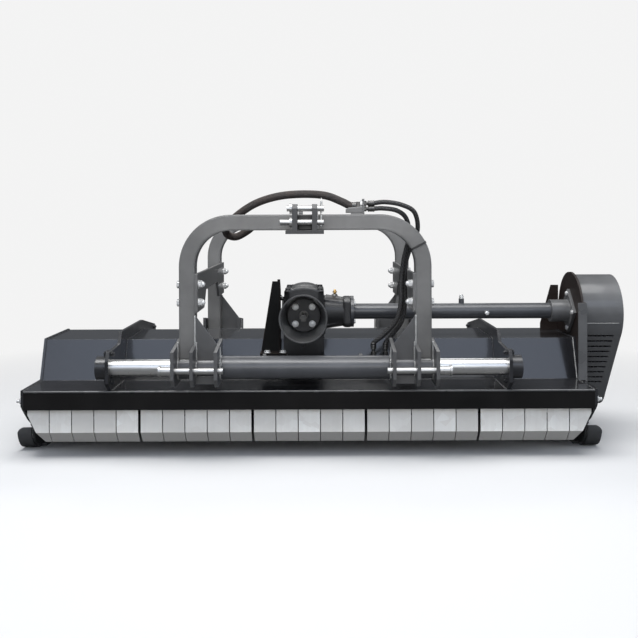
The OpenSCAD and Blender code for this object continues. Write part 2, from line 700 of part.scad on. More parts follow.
// Flange bearings of the rotor, the left one closed by its cap
module bearing_holes() for (y = [-1, 1], z = [-1, 1])
  translate([0, rotor_y + y * bearing_bolt, rotor_z + z * bearing_bolt])
    bar_x(-half_w - 60, guard_x0 + 60, 0, 0, 14 + bolt_slack);
module rotor_bearings() color("dimgray") place() {
  difference() {
    union() {
      block([-half_w - 14, rotor_y - 75, rotor_z - 75], [-half_w, rotor_y + 75, rotor_z + 75]);
      bar_x(-half_w - 52, -half_w, rotor_y, rotor_z, 130);
    }
    bar_x(-half_w - 44, -half_w + 1, rotor_y, rotor_z, 60 + 2 * run);
    bearing_holes();
  }
  difference() {
    union() {
      block([guard_x0, rotor_y - 75, rotor_z - 75], [guard_x0 + 14, rotor_y + 75, rotor_z + 75]);
      bar_x(guard_x0, guard_x0 + 45, rotor_y, rotor_z, 110);
    }
    bar_x(guard_x0 - 1, guard_x0 + 46, rotor_y, rotor_z, 60 + 2 * run);
    bearing_holes();
  }
}

// Rear roller between two brackets on the end plates
roller_l = half_w - 25;
module rear_roller() color("dimgray") place() {
  difference() {
    bar_x(-roller_l, roller_l, roller_y, roller_z, roller_d);
    bar_x(-roller_l + 15, roller_l - 15, roller_y, roller_z, roller_d - 16);
  }
  bar_x(-half_w - 24, -roller_l + 15, roller_y, roller_z, 40);
  bar_x(roller_l - 15, half_w + 24, roller_y, roller_z, 40);
}
module roller_bracket() difference() {
  union() {
    yz(half_w, 12) {
      dot([roller_y, roller_z], 100);
      polygon([[roller_y - 50, roller_z], [roller_y + 50, roller_z],
               [roller_y + 62, roller_bolt_z + 40], [roller_y - 80, roller_bolt_z + 40]]);
    }
    bar_x(half_w, half_w + 34, roller_y, roller_z, 84);
  }
  bar_x(half_w - 1, half_w + 26, roller_y, roller_z, 40 + 2 * run);
  for (y = roller_bolt_y) bar_x(half_w - 1, half_w + 13, y, roller_bolt_z, 16 + bolt_slack);
}
module roller_brackets() color("dimgray") place() both() roller_bracket();

// Side-shift cylinder, its rod held by the left bracket and its barrel by the carriage
piston_x = hitch_x + (barrel_x0 + barrel_x1) / 2;
rod_step = 4;
module cylinder_rod() color("white") place() {
  bar_x(-rib_x + rib_t / 2, piston_x, cyl_y, cyl_z, rod_dia);
  bar_x(-rib_x - rib_t / 2 - 34, -rib_x + rib_t / 2, cyl_y, cyl_z, rod_dia - rod_step);
  bar_x(piston_x - 25, piston_x + 25, cyl_y, cyl_z, barrel_in - 2 * run);
}
pipe_d = 12;
pipe_y = cyl_y + barrel_d / 2 + 2 + pipe_d / 2;
module cylinder_barrel() color("black") carriage() difference() {
  union() {
    bar_x(barrel_x0, barrel_x1, cyl_y, cyl_z, barrel_d);
    for (x = port_x) bar_z(cyl_z, port_z, x, cyl_y, 26);
    bar_x(barrel_x0 + 12, port_x[0] + 10, pipe_y, cyl_z, pipe_d);
    for (x = [barrel_x0 + 5, port_x[0] - 10])
      block([x, cyl_y, cyl_z - 10], [x + 20, cyl_y + barrel_d / 2 + 15, cyl_z + 10]);
  }
  bar_x(barrel_x0 + 50, barrel_x1 - 30, cyl_y, cyl_z, barrel_in);
  bar_x(barrel_x0 - 1, barrel_x0 + 51, cyl_y, cyl_z, rod_dia + 2 * run);
  for (x = port_x) bar_z(cyl_z, port_z + 1, x, cyl_y, 12);
}

// Carriage sleeve with its lug plates, gussets and the clamps of the cylinder
outer_lug = [
  [lug_f, tube_z - 30], [lug_f, tube_z + 90], [tube_y + 68, tube_z + 120], [tube_y + 68, tube_z - 20],
  [tube_y + 30, tube_z - 66], [lug_f + 35, tube_z - 66]
];
mid_lug = [
  [lug_f, tube_z - 30], [lug_f, tube_z + 90], [leg_y0, tube_z + 105], [leg_y0, tube_z - 66],
  [lug_f + 35, tube_z - 66]
];
gusset_z = 652;
module lug(i) yz(lug_x[i] - lug_t / 2, lug_t) polygon(i == 1 ? mid_lug : outer_lug);
module sleeve(clamped) difference() {
  union() {
    bar_x(-sleeve_l, sleeve_l, tube_y, tube_z, sleeve_d);
    both() {
      for (i = [0:2]) lug(i);
      xz(leg_y0, 12)
        polygon([[lug_x[2], tube_z], [lug_x[2], tube_z + 100], [leg_in, gusset_z], [leg_in, tube_z]]);
      block([lug_x[2], -25, tube_z - 66], [lug_x[1], -15, tube_z - 31]);
    }
    if (clamped) for (x = clamp_x) yz(x - 8, 16) {
      dot([cyl_y, cyl_z], barrel_d + 26);
      polygon([[tube_y, tube_z - 40], [cyl_y, cyl_z - 40], [cyl_y, cyl_z + 40], [tube_y, tube_z + 40]]);
    }
  }
  bar_x(-sleeve_l - 1, sleeve_l + 1, tube_y, tube_z, sleeve_in);
  both() bar_x(lug_x[2] - 20, lug_x[0] + 20, pin_y, pin_z, pin_d + 2 * pin_slack);
  if (clamped) {
    bar_x(clamp_x[0] - 20, clamp_x[1] + 20, cyl_y, cyl_z, barrel_d + 2 * run);
    bar_x(clamp_x[0] - 20, clamp_x[1] + 20, pipe_y, cyl_z, pipe_d + 2 * slip);
  }
}
module front_sleeve() color("gray") carriage() sleeve(true);
module rear_sleeve() color("gray") carriage() rear() sleeve(false);
module bush() difference() {
  bar_x(sleeve_l - bush_l, sleeve_l, tube_y, tube_z, sleeve_in - 2 * run);
  bar_x(0, sleeve_l + 1, tube_y, tube_z, tube_d + 2 * run);
}
module slide_bushes() color("tan") carriage() {
  both() bush();
  rear() both() bush();
}

// Arch of square tube standing on the sleeve
module arch_bar(w) {
  e = (arch_s - w) / 2;
  r = arch_r - e;
  c = leg_out - arch_r;
  cz = arch_z - arch_r;
  block([leg_in + e, leg_y0 + e, tube_z + 20], [leg_out - e, leg_y1 - e, cz]);
  translate([c, leg_y1 - e, cz]) rotate([90, 0, 0]) rotate_extrude(angle = 90)
    translate([r - w, 0]) square(w);
  block([0, leg_y0 + e, arch_z - arch_s + e], [c, leg_y1 - e, arch_z - e]);
}
module arch() difference() {
  both() arch_bar(arch_s);
  both() arch_bar(arch_s - 2 * arch_wall);
  bar_x(-leg_out - 1, leg_out + 1, tube_y, tube_z, sleeve_d + 2 * run);
  both() for (z = link_bolt_z) bar_x(leg_in - 1, leg_out + 1, tube_y, z, 20 + bolt_slack);
}
holder_x = -150;
coupler_y = leg_y1 + 140;
coupler_z = [-49, -21];
module front_arch() color("gray") carriage() {
  arch();
  difference() {
    block([holder_x - 5, leg_y1, arch_z - 64], [holder_x + 5, coupler_y + 28, arch_z - 6]);
    for (z = coupler_z) bar_x(holder_x - 6, holder_x + 6, coupler_y, arch_z + z, 22 + bolt_slack);
  }
}
module rear_arch() color("gray") carriage() rear() arch();

// Link plates between the legs of the two arches
module link_plate() yz(leg_in - link_t, link_t) difference() {
  polygon([
    [leg_y0, link_low], [leg_y0, link_z1], [2 * mid_y - leg_y0, link_z1], [2 * mid_y - leg_y0, link_low],
    [2 * mid_y - 200, link_low], [2 * mid_y - 270, link_z0], [270, link_z0], [200, link_low]
  ]);
  for (y = [tube_y, rear_tube_y], z = link_bolt_z) dot([y, z], 20 + bolt_slack);
}
module right_link_plate() color("gray") carriage() link_plate();
module left_link_plate() color("gray") carriage() mirror([1, 0, 0]) link_plate();
module link_bolt(y, z) {
  bar_x(leg_in - link_t - 22, leg_out, y, z, 20);
  hex_x(leg_out, leg_out + 13, y, z, 30);
  hex_x(leg_in - link_t - 16, leg_in - link_t, y, z, 30);
}
module frame_bolts() color("silver") carriage() both()
  for (y = [tube_y, rear_tube_y], z = link_bolt_z) link_bolt(y, z);

// Top link ears on a foot under the top bar
module top_hitch() difference() {
  union() {
    for (s = [-1, 1]) yz(s * ear_x - ear_t / 2, ear_t) polygon([
      [leg_y0, arch_z - arch_s - 2], [leg_y0, arch_z + 12], [leg_y0 - 24, arch_z + ear_top],
      [top_pin_y - 18, arch_z + ear_top],
      [lug_f + 12, arch_z + 25], [lug_f + 12, arch_z - arch_s - 2]
    ]);
    block([-83, lug_f + 12, arch_z - arch_s - 15], [83, leg_y1, arch_z - arch_s]);
  }
  for (z = top_pin_z) bar_x(-100, 100, top_pin_y, z, top_pin_d + 2 * pin_slack);
}
module front_top_hitch() color("gray") carriage() top_hitch();
module rear_top_hitch() color("gray") carriage() rear() top_hitch();

// Hitch pins of the front side and the linch pins through their ends
pin_in = sleeve_l - 223;
pin_out = sleeve_l + 56;
linch_in = pin_in + 14;
module lower_pin() difference() {
  union() {
    bar_x(pin_in, pin_out, pin_y, pin_z, pin_d);
    bar_x(sleeve_l, pin_out, pin_y, pin_z, pin_d + 11);
    bar_x(pin_out - 9, pin_out, pin_y, pin_z, pin_d + 20);
  }
  bar_z(pin_z - 40, pin_z + 40, linch_in, pin_y, 10 + bolt_slack);
}
module top_pin(z, x0, x1) difference() {
  union() {
    bar_x(x0, x1, top_pin_y, z, top_pin_d);
    bar_x(-ear_x - ear_t / 2 - 12, -ear_x - ear_t / 2, top_pin_y, z, top_pin_d + 20);
  }
  bar_z(z - 40, z + 40, x1 - 12, top_pin_y, 9 + bolt_slack);
}
module hitch_pins() color("silver") carriage() {
  both() lower_pin();
  top_pin(top_pin_z[0], -108, 82);
  top_pin(top_pin_z[1], -78, 84);
}
module linch(x, y, z, d, l) {
  bar_z(z - l / 2, z + l / 2 + 14, x, y, d);
  translate([x, y + l / 2 + 3, z + l / 2 + 10]) rotate([90, 0, 90])
    rotate_extrude() translate([l / 2, 0]) circle(d = 4);
}
module linch_pins() color("silver") carriage() {
  both() linch(linch_in, pin_y, pin_z, 10, 42);
  linch(70, top_pin_y, top_pin_z[0], 9, 36);
  linch(72, top_pin_y, top_pin_z[1], 9, 36);
}

// Hose bulkhead on the top bar with its fittings, ports and couplers
bulk_x = 255;
hose_z = [arch_z + 24, arch_z + 48];
module hose_bulkhead() color("gray") carriage() difference() {
  union() {
    block([bulk_x - 50, leg_y0 + 8, arch_z], [bulk_x + 8, leg_y1 - 8, arch_z + 6]);
    block([bulk_x, leg_y0 + 8, arch_z], [bulk_x + 8, leg_y1 - 8, arch_z + 68]);
  }
  for (z = hose_z) bar_x(bulk_x - 1, bulk_x + 9, tube_y, z, 16 + bolt_slack);
}
module hose_fittings() color("silver") carriage() {
  for (z = hose_z) {
    bar_x(bulk_x - 10, bulk_x + 24, tube_y, z, 16);
    hex_x(bulk_x - 10, bulk_x, tube_y, z, 20);
    hex_x(bulk_x + 8, bulk_x + 18, tube_y, z, 20);
  }
  block([bulk_x - 26, tube_y - 14, hose_z[0] - 8], [bulk_x - 10, tube_y + 14, hose_z[1] + 8]);
  for (x = port_x) {
    bar_z(port_z, port_z + 22, x, cyl_y, 16);
    hex_z(port_z, port_z + 12, x, cyl_y, 22);
  }
  for (z = coupler_z) {
    bar_x(holder_x - 30, holder_x + 40, coupler_y, arch_z + z, 22);
    bar_x(holder_x + 40, holder_x + 58, coupler_y, arch_z + z, 26);
  }
  block([holder_x - 44, coupler_y - 14, arch_z - 62], [holder_x - 30, coupler_y + 14, arch_z - 8]);
}

// Hoses as tubes along smooth routes
function curve(a, b, c, d, t) = 0.5 * (2 * b + (c - a) * t + (2 * a - 5 * b + 4 * c - d) * t * t
  + (3 * b - a - 3 * c + d) * t * t * t);
function route(p, n) = [
  for (i = [0:len(p) - 2], k = [0:n - 1])
    curve(p[max(i - 1, 0)], p[i], p[i + 1], p[min(i + 2, len(p) - 1)], k / n),
  p[len(p) - 1]
];
function unit(v) = v / norm(v);
module hose(p, d, sides, n) {
  q = route(p, n);
  m = len(q);
  function ring(i) = let (
    w = unit(i == 0 ? p[1] - p[0] : i == m - 1 ? p[len(p) - 1] - p[len(p) - 2] : q[i + 1] - q[i - 1]),
    u = unit(cross(w, [0, 1, 0.01])),
    v = cross(w, u)
  ) [for (k = [0:sides - 1]) q[i] + d / 2 * (cos(360 * k / sides) * u + sin(360 * k / sides) * v)];
  polyhedron(
    points = [for (i = [0:m - 1]) each ring(i)],
    faces = concat(
      [[for (k = [0:sides - 1]) k]],
      [for (i = [0:m - 2], k = [0:sides - 1]) let (a = i * sides + k, b = i * sides + (k + 1) % sides)
        each [[a, a + sides, b], [b, a + sides, b + sides]]],
      [[for (k = [sides - 1:-1:0]) (m - 1) * sides + k]]
    )
  );
}
cyl_hose_d = 21;
sleeve_hose_d = 35;
hose_1 = [
  [bulk_x + 24 + slip, tube_y, hose_z[1]], [bulk_x + 45, tube_y, hose_z[1]],
  [bulk_x + 100, 22, arch_z + 54], [leg_in - 58, 28, arch_z + 42], [leg_in + 2, 44, arch_z + 8],
  [leg_in + 20, 78, arch_z - 70], [leg_in - 8, 100, 950], [leg_in - 32, 106, 870],
  [leg_in - 36, 108, 780], [leg_in - 36, 108, 690], [leg_in - 50, 112, 610], [leg_in - 93, 126, 545],
  [port_x[1], cyl_y, port_z + 50], [port_x[1], cyl_y, port_z + 22 + slip]
];
hose_2 = [
  [bulk_x + 24 + slip, tube_y, hose_z[0]], [bulk_x + 45, tube_y, hose_z[0]],
  [bulk_x + 90, 24, arch_z + 26], [leg_in - 78, 34, arch_z + 16], [leg_in - 33, 60, arch_z - 20],
  [leg_in - 18, 84, 1000], [leg_in - 40, 90, 900], [leg_in - 54, 86, 800], [leg_in - 56, 84, 700],
  [leg_in - 76, 90, 615], [leg_in - 128, 112, 550],
  [port_x[0], cyl_y, port_z + 50], [port_x[0], cyl_y, port_z + 22 + slip]
];
hose_3 = [
  [bulk_x - 26 - slip, tube_y, arch_z + 36], [bulk_x - 50, tube_y, arch_z + 36],
  [bulk_x - 95, 21, arch_z + 58], [90, 26, arch_z + 84], [-10, 32, arch_z + 91],
  [-120, 42, arch_z + 82], [-220, 60, arch_z + 52], [-300, 86, arch_z + 4],
  [-358, 124, arch_z - 48], [-366, 168, arch_z - 88], [-326, 202, arch_z - 102],
  [-270, 206, arch_z - 72], [holder_x - 78, coupler_y, arch_z - 35],
  [holder_x - 44 - slip, coupler_y, arch_z - 35]
];
module cylinder_hoses() color("black") carriage() {
  hose(hose_1, cyl_hose_d, 10, 3);
  hose(hose_2, cyl_hose_d, 10, 3);
}
module tractor_hose() color("black") carriage() hose(hose_3, sleeve_hose_d, 12, 3);

// Bolts and nuts of the deck
module deck_bolts() color("silver") place() {
  both() {
    difference() {
      hex_x(half_w, half_w + 13, rod_y, rod_z, 24);
      bar_x(half_w - 1, half_w + 14, rod_y, rod_z, rod_d + 2 * run);
    }
    for (y = skid_bolt_y) {
      bar_x(in_w - 14, half_w + web_t, y, skid_bolt_z, 16);
      hex_x(half_w + web_t, half_w + web_t + 10, y, skid_bolt_z, 24);
      hex_x(in_w - 13, in_w, y, skid_bolt_z, 24);
    }
    for (y = roller_bolt_y) {
      bar_x(in_w - 14, half_w + 12, y, roller_bolt_z, 16);
      hex_x(half_w + 12, half_w + 22, y, roller_bolt_z, 24);
      hex_x(in_w - 13, in_w, y, roller_bolt_z, 24);
    }
    for (y = [tube_y, rear_tube_y], s = [-1, 1]) {
      bar_x(rib_x - rib_t / 2 - 12, rib_x + rib_t / 2 + 10, y, tube_z + s * cap_bolt, 12);
      hex_x(rib_x + rib_t / 2 + 10, rib_x + rib_t / 2 + 18, y, tube_z + s * cap_bolt, 18);
      hex_x(rib_x - rib_t / 2 - 10, rib_x - rib_t / 2, y, tube_z + s * cap_bolt, 18);
    }
  }
  difference() {
    hex_x(-rib_x - rib_t / 2 - 24, -rib_x - rib_t / 2, cyl_y, cyl_z, 46);
    bar_x(-rib_x - 60, -rib_x, cyl_y, cyl_z, rod_dia - rod_step + 2 * run);
  }
  for (x = foot_bolt_x) {
    bar_z(ped_low - 14, br_foot + foot_t, gear_x + x, foot_bolt_y, 16);
    hex_z(br_foot + foot_t, br_foot + foot_t + 11, gear_x + x, foot_bolt_y, 24);
    hex_z(ped_low - 13, ped_low, gear_x + x, foot_bolt_y, 24);
  }
  bar_z(drive_z + 86, drive_z + 102, breather_x, drive_y, 14);
  hex_z(drive_z + 102, drive_z + 110, breather_x, drive_y, 19);
  for (x = [-1, 1], y = [-1, 1])
    hex_z(drive_z + 138, drive_z + 146, gear_x + x * (case_half - 19), drive_y + y * (case_y - 19), 19);
  for (b = br_bolt) {
    bar_x(br_x, gear_x - case_half + 10, b[0], b[1], 14);
    hex_x(br_x - 9, br_x, b[0], b[1], 22);
  }
  for (x = [-1, 1], z = [-1, 1]) {
    input_screw(x, z);
    about_drive() input_screw(x, z);
    bar_x(neck_end - 24, neck_end + 16, drive_y + x * 44, drive_z + z * 44, 12);
    hex_x(neck_end + 16, neck_end + 24, drive_y + x * 44, drive_z + z * 44, 18);
  }
  for (a = [0:90:270]) translate([0, drive_y + flange_r * cos(a), drive_z + flange_r * sin(a)]) {
    bar_x(half_w - 14, half_w + back_t + 11, 0, 0, 12);
    hex_x(half_w - 22, half_w - 14, 0, 0, 18);
    hex_x(half_w + back_t, half_w + back_t + 10, 0, 0, 18);
  }
  for (y = [-1, 1], z = [-1, 1]) translate([0, rotor_y + y * bearing_bolt, rotor_z + z * bearing_bolt]) {
    bar_x(-half_w - 14, -in_w + 12, 0, 0, 14);
    hex_x(-half_w - 23, -half_w - 14, 0, 0, 22);
    hex_x(-in_w, -in_w + 11, 0, 0, 22);
    bar_x(in_w - 12, guard_x0 + 14, 0, 0, 14);
    hex_x(guard_x0 + 14, guard_x0 + 23, 0, 0, 22);
    hex_x(in_w - 11, in_w, 0, 0, 22);
  }
}
module input_screw(x, z) {
  bar_y(drive_y - nose_y - flange_t, drive_y - nose_y + 20,
        gear_x + x * input_bolt, drive_z + z * input_bolt, 14);
  hex_y(drive_y - nose_y - flange_t - 10, drive_y - nose_y - flange_t,
        gear_x + x * input_bolt, drive_z + z * input_bolt, 22);
}

// Draw the pieces
hood_shell();
left_end_plate();
right_end_plate();
front_beam();
flap_rod();
left_skid();
right_skid();
left_slide_bracket();
right_slide_bracket();
front_slide_tube();
rear_slide_tube();
tube_caps();
gearbox_pedestal();
gearbox_case();
input_flanges();
pto_guards();
gearbox_bracket();
drive_tube();
drive_bearing();
belt_back_plate();
belt_guard();
v_belts();
rotor_bearings();
roller_brackets();
cylinder_rod();
deck_bolts();
front_sleeve();
rear_sleeve();
slide_bushes();
front_arch();
rear_arch();
left_link_plate();
right_link_plate();
front_top_hitch();
rear_top_hitch();
hitch_pins();
linch_pins();
frame_bolts();
cylinder_barrel();
hose_bulkhead();
hose_fittings();
cylinder_hoses();
tractor_hose();
pto_shaft();
bevel_gear();
drive_shaft();
drive_pulley();
rotor();
rotor_pulley();
hammer_bolts();
hammers_1();
hammers_2();
hammers_3();
hammers_4();
rear_roller();
flap_bay_1();
flap_bay_2();
flap_bay_3();
flap_bay_4();
flap_bay_5();
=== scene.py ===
import math

import bpy
import bmesh
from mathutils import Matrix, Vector


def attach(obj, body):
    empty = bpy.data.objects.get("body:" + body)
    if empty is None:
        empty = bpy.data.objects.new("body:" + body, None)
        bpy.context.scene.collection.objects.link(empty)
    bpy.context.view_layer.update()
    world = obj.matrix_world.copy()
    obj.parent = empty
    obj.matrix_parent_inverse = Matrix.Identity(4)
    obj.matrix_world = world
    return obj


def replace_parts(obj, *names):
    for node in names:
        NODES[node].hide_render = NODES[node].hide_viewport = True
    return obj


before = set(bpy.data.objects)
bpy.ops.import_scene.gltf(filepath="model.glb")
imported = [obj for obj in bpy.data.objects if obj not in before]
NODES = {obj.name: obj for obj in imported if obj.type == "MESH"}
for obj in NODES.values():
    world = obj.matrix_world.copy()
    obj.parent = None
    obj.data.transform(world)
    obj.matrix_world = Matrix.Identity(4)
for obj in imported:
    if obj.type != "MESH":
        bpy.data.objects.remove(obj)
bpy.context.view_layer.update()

PICTURE, FOCAL_PX, SENSOR = 638, 812, 36.0
HORIZON = Vector((319.5, 220.0))
EYE_PLACE, EYE_ROLL = (-0.0135, -4.0825, 1.072), math.radians(0.22)
BACKDROP, SKY = (0.9, 0.9, 0.9, 1), (0.82, 0.87, 0.95, 1)
SKY_AHEAD, SKY_BEHIND, SKY_TURN = 0.5, 0.13, (-0.2, 0.35)
WARM, COOL, BLUE = (1.0, 0.985, 0.96), (0.86, 0.92, 1.0), (0.66, 0.77, 1.0)
FLOOR_HALF, FLOOR_NEAR, FLOOR_END = 14, -9, 16
FLOOR_LIT, FLOOR_MIRRORED, FLOOR_SEEN = (0.2, 0.2, 0.2), (0.1, 0.1, 0.1), (0.66, 0.66, 0.66)
FLOOR_ROUGH, FLOOR_FADE = 0.65, (1.5, 3.6)


def add_node(tree, kind, **settings):
    node = tree.nodes.new(kind)
    for key, value in settings.items():
        if key in node.inputs:
            node.inputs[key].default_value = value
        else:
            setattr(node, key, value)
    return node


def maths(tree, operation, a, b=None):
    node = add_node(tree, "ShaderNodeMath", operation=operation)
    for slot, value in enumerate((a, b)):
        if isinstance(value, (int, float)):
            node.inputs[slot].default_value = value
        elif value is not None:
            tree.links.new(value, node.inputs[slot])
    return node.outputs[0]


def span(tree, value, low, high, start=0.3, end=0.7):
    node = add_node(tree, "ShaderNodeMapRange")
    tree.links.new(value, node.inputs["Value"])
    for label, number in (("From Min", start), ("From Max", end), ("To Min", low), ("To Max", high)):
        node.inputs[label].default_value = number
    return node.outputs[0]


def blend_colours(tree, factor, a, b):
    node = add_node(tree, "ShaderNodeMix", data_type="RGBA")
    tree.links.new(factor, node.inputs[0])
    for slot, value in ((6, a), (7, b)):
        if isinstance(value, tuple):
            node.inputs[slot].default_value = (*value, 1)
        else:
            tree.links.new(value, node.inputs[slot])
    return node.outputs[2]


def blend_shaders(tree, factor, a, b, target):
    node = add_node(tree, "ShaderNodeMixShader")
    for slot, value in enumerate((factor, a.outputs[0], b.outputs[0])):
        tree.links.new(value, node.inputs[slot])
    tree.links.new(node.outputs[0], target.inputs["Surface"])


eye = bpy.data.cameras.new("viewpoint")
eye.sensor_width = SENSOR
eye.lens = FOCAL_PX / PICTURE * SENSOR
eye.shift_x = (PICTURE / 2 - HORIZON.x) / PICTURE
eye.shift_y = (HORIZON.y - PICTURE / 2) / PICTURE
eye.clip_end = 60
camera = bpy.data.objects.new("viewpoint", eye)
camera.location = EYE_PLACE
camera.rotation_euler = (math.pi / 2, EYE_ROLL, 0)
bpy.context.scene.collection.objects.link(camera)
bpy.context.scene.camera = camera
bpy.context.scene.view_settings.view_transform = "Standard"

world = bpy.data.worlds.new("studio_air")
bpy.context.scene.world = world
world.use_nodes = True
air = world.node_tree
air.nodes.clear()
path = add_node(air, "ShaderNodeLightPath")
seen = maths(air, "MAXIMUM", path.outputs["Is Camera Ray"], path.outputs["Is Transmission Ray"])
way = add_node(air, "ShaderNodeSeparateXYZ")
air.links.new(add_node(air, "ShaderNodeTexCoord").outputs["Generated"], way.inputs[0])
lit = add_node(air, "ShaderNodeBackground", Color=SKY)
air.links.new(span(air, way.outputs["Y"], SKY_AHEAD, SKY_BEHIND, *SKY_TURN), lit.inputs["Strength"])
pale = add_node(air, "ShaderNodeBackground", Color=BACKDROP, Strength=1.0)
blend_shaders(air, seen, lit, pale, add_node(air, "ShaderNodeOutputWorld"))


def lamp(name, place, target, size, watts, tint=(1, 1, 1)):
    light = bpy.data.lights.new(name, "AREA")
    light.shape = "RECTANGLE"
    light.size, light.size_y = size
    light.energy = watts
    light.color = tint
    obj = bpy.data.objects.new(name, light)
    obj.location = place
    obj.rotation_euler = (Vector(target) - Vector(place)).to_track_quat("-Z", "Y").to_euler()
    bpy.context.scene.collection.objects.link(obj)
    return obj


lamp("top_softbox", (0, -0.9, 4.3), (0, 0.1, 0.3), (5.2, 2.2), 150)
lamp("front_softbox", (-0.8, -2.3, 4.9), (0, -0.4, 0.3), (3.6, 1.2), 120)
lamp("fill_panel", (0.0, -4.3, 1.5), (0, 0, 0.5), (2.4, 1.2), 22, WARM)
lamp("sky_panel", (0.0, -5.4, 3.3), (0, -0.2, 0.45), (7.0, 2.0), 55, BLUE)
rear_fill = lamp("rear_fill", (0.0, 4.3, 1.7), (0, 0, 0.5), (2.8, 1.2), 30)
rear_fill.visible_camera = rear_fill.visible_glossy = False
lamp("rear_softbox", (0.0, 4.4, 4.4), (0, 0.3, 0.5), (4.0, 1.6), 70)
lamp("right_softbox", (4.4, -2.0, 1.9), (1.0, 0, 0.5), (1.4, 2.2), 40, COOL)
lamp("left_softbox", (-4.4, -2.0, 1.9), (-1.0, 0, 0.5), (1.4, 2.2), 30, COOL)

floor_mesh = bpy.data.meshes.new("pale_floor")
floor_corners = [(-FLOOR_HALF, FLOOR_NEAR, 0), (FLOOR_HALF, FLOOR_NEAR, 0),
                 (FLOOR_HALF, FLOOR_END, 0), (-FLOOR_HALF, FLOOR_END, 0)]
floor_mesh.from_pydata(floor_corners, [], [(0, 1, 2, 3)])
pale_floor = bpy.data.objects.new("pale_floor", floor_mesh)
bpy.context.scene.collection.objects.link(pale_floor)
floor_paint = bpy.data.materials.new("pale_floor")
floor_paint.use_nodes = True
ground = floor_paint.node_tree
near = ground.nodes["Principled BSDF"]
near.inputs["Roughness"].default_value = FLOOR_ROUGH
reach = add_node(ground, "ShaderNodeVectorMath", operation="LENGTH")
ground.links.new(add_node(ground, "ShaderNodeNewGeometry").outputs["Position"], reach.inputs[0])
path = add_node(ground, "ShaderNodeLightPath")
tone = FLOOR_LIT
for ray, colour in (("Is Glossy Ray", FLOOR_MIRRORED), ("Is Camera Ray", FLOOR_SEEN)):
    tone = blend_colours(ground, path.outputs[ray], tone, colour)
ground.links.new(tone, near.inputs["Base Color"])
fade = maths(ground, "MULTIPLY", span(ground, reach.outputs["Value"], 0.0, 1.0, *FLOOR_FADE),
             path.outputs["Is Camera Ray"])
far = add_node(ground, "ShaderNodeEmission", Color=BACKDROP, Strength=1.0)
blend_shaders(ground, fade, near, far, ground.nodes["Material Output"])
floor_mesh.materials.append(floor_paint)

# Hood, end plates and front beam: folded and welded sheet in gloss black, the beam in a duller black.
# The end plates stand a little proud of the hood and are welded all round.
WEAR_GRAIN, DUST_GRAIN, DUST_COLOUR = 60.0, 38.0, (0.32, 0.31, 0.29)
TONE_SWING, GLOSS_SHARP, GLOSS_DULL, COAT_ROUGH, PAINT_GRAIN = 0.2, 0.85, 1.2, 0.06, 0.6


def effect_group(name, inputs, outputs):
    tree = bpy.data.node_groups.new(name, "ShaderNodeTree")
    for label, value in inputs:
        socket = tree.interface.new_socket(label, in_out="INPUT", socket_type="NodeSocketFloat")
        socket.default_value = value
    for label, kind in outputs:
        tree.interface.new_socket(label, in_out="OUTPUT", socket_type="NodeSocket" + kind)
    return tree, tree.nodes.new("NodeGroupInput"), tree.nodes.new("NodeGroupOutput")


def noise(tree, vector, scale, detail=3.0, rough=0.55):
    node = add_node(tree, "ShaderNodeTexNoise", Detail=detail, Roughness=rough)
    tree.links.new(vector, node.inputs["Vector"])
    if isinstance(scale, (int, float)):
        node.inputs["Scale"].default_value = scale
    else:
        tree.links.new(scale, node.inputs["Scale"])
    return node.outputs["Fac"]


# Rounded normals at sharp edges and a broken mask along them, for rubbed paint and, on some paints, a lighter
# painted highlight along the edge
edge_wear_and_highlight, g_in, g_out = effect_group(
    "edge_wear_and_highlight", [("Radius", 0.003), ("Spread", 1.0)], [("Edge", "Float"), ("Normal", "Vector")])
bevel = add_node(edge_wear_and_highlight, "ShaderNodeBevel", samples=6)
edge_wear_and_highlight.links.new(g_in.outputs["Radius"], bevel.inputs["Radius"])
geo = add_node(edge_wear_and_highlight, "ShaderNodeNewGeometry")
dot = add_node(edge_wear_and_highlight, "ShaderNodeVectorMath", operation="DOT_PRODUCT")
edge_wear_and_highlight.links.new(bevel.outputs["Normal"], dot.inputs[0])
edge_wear_and_highlight.links.new(geo.outputs["Normal"], dot.inputs[1])
place = add_node(edge_wear_and_highlight, "ShaderNodeTexCoord")
bend = maths(edge_wear_and_highlight, "SUBTRACT", 1.0, dot.outputs["Value"])
patch = noise(edge_wear_and_highlight, place.outputs["Object"], WEAR_GRAIN, 4.0)
worn_and_lit = maths(edge_wear_and_highlight, "MULTIPLY", maths(edge_wear_and_highlight, "MULTIPLY", bend, patch), g_in.outputs["Spread"])
edge_wear_and_highlight.links.new(maths(edge_wear_and_highlight, "MINIMUM", worn_and_lit, 1.0), g_out.inputs["Edge"])
edge_wear_and_highlight.links.new(bevel.outputs["Normal"], g_out.inputs["Normal"])

# Fine peel of a sprayed coat, slow changes of tone, and dust on faces that look up
paint_film, g_in, g_out = effect_group(
    "paint_film", [("Peel", 900.0), ("Wave", 6.0)],
    [("Height", "Float"), ("Tone", "Float"), ("Dust", "Float")])
place = add_node(paint_film, "ShaderNodeTexCoord")
peel = noise(paint_film, place.outputs["Object"], g_in.outputs["Peel"], 2.0)
wave = noise(paint_film, place.outputs["Object"], g_in.outputs["Wave"], 3.0)
paint_film.links.new(maths(paint_film, "ADD", peel, maths(paint_film, "MULTIPLY", wave, 2.0)),
                     g_out.inputs["Height"])
paint_film.links.new(wave, g_out.inputs["Tone"])
geo = add_node(paint_film, "ShaderNodeNewGeometry")
up = add_node(paint_film, "ShaderNodeSeparateXYZ")
paint_film.links.new(geo.outputs["Normal"], up.inputs[0])
fleck = noise(paint_film, place.outputs["Object"], DUST_GRAIN, 6.0, 0.7)
lies = maths(paint_film, "MULTIPLY", maths(paint_film, "MAXIMUM", up.outputs["Z"], 0.0), fleck)
paint_film.links.new(lies, g_out.inputs["Dust"])


def place_group(tree, group, **values):
    node = tree.nodes.new("ShaderNodeGroup")
    node.node_tree = group
    for key, value in values.items():
        node.inputs[key].default_value = value
    return node


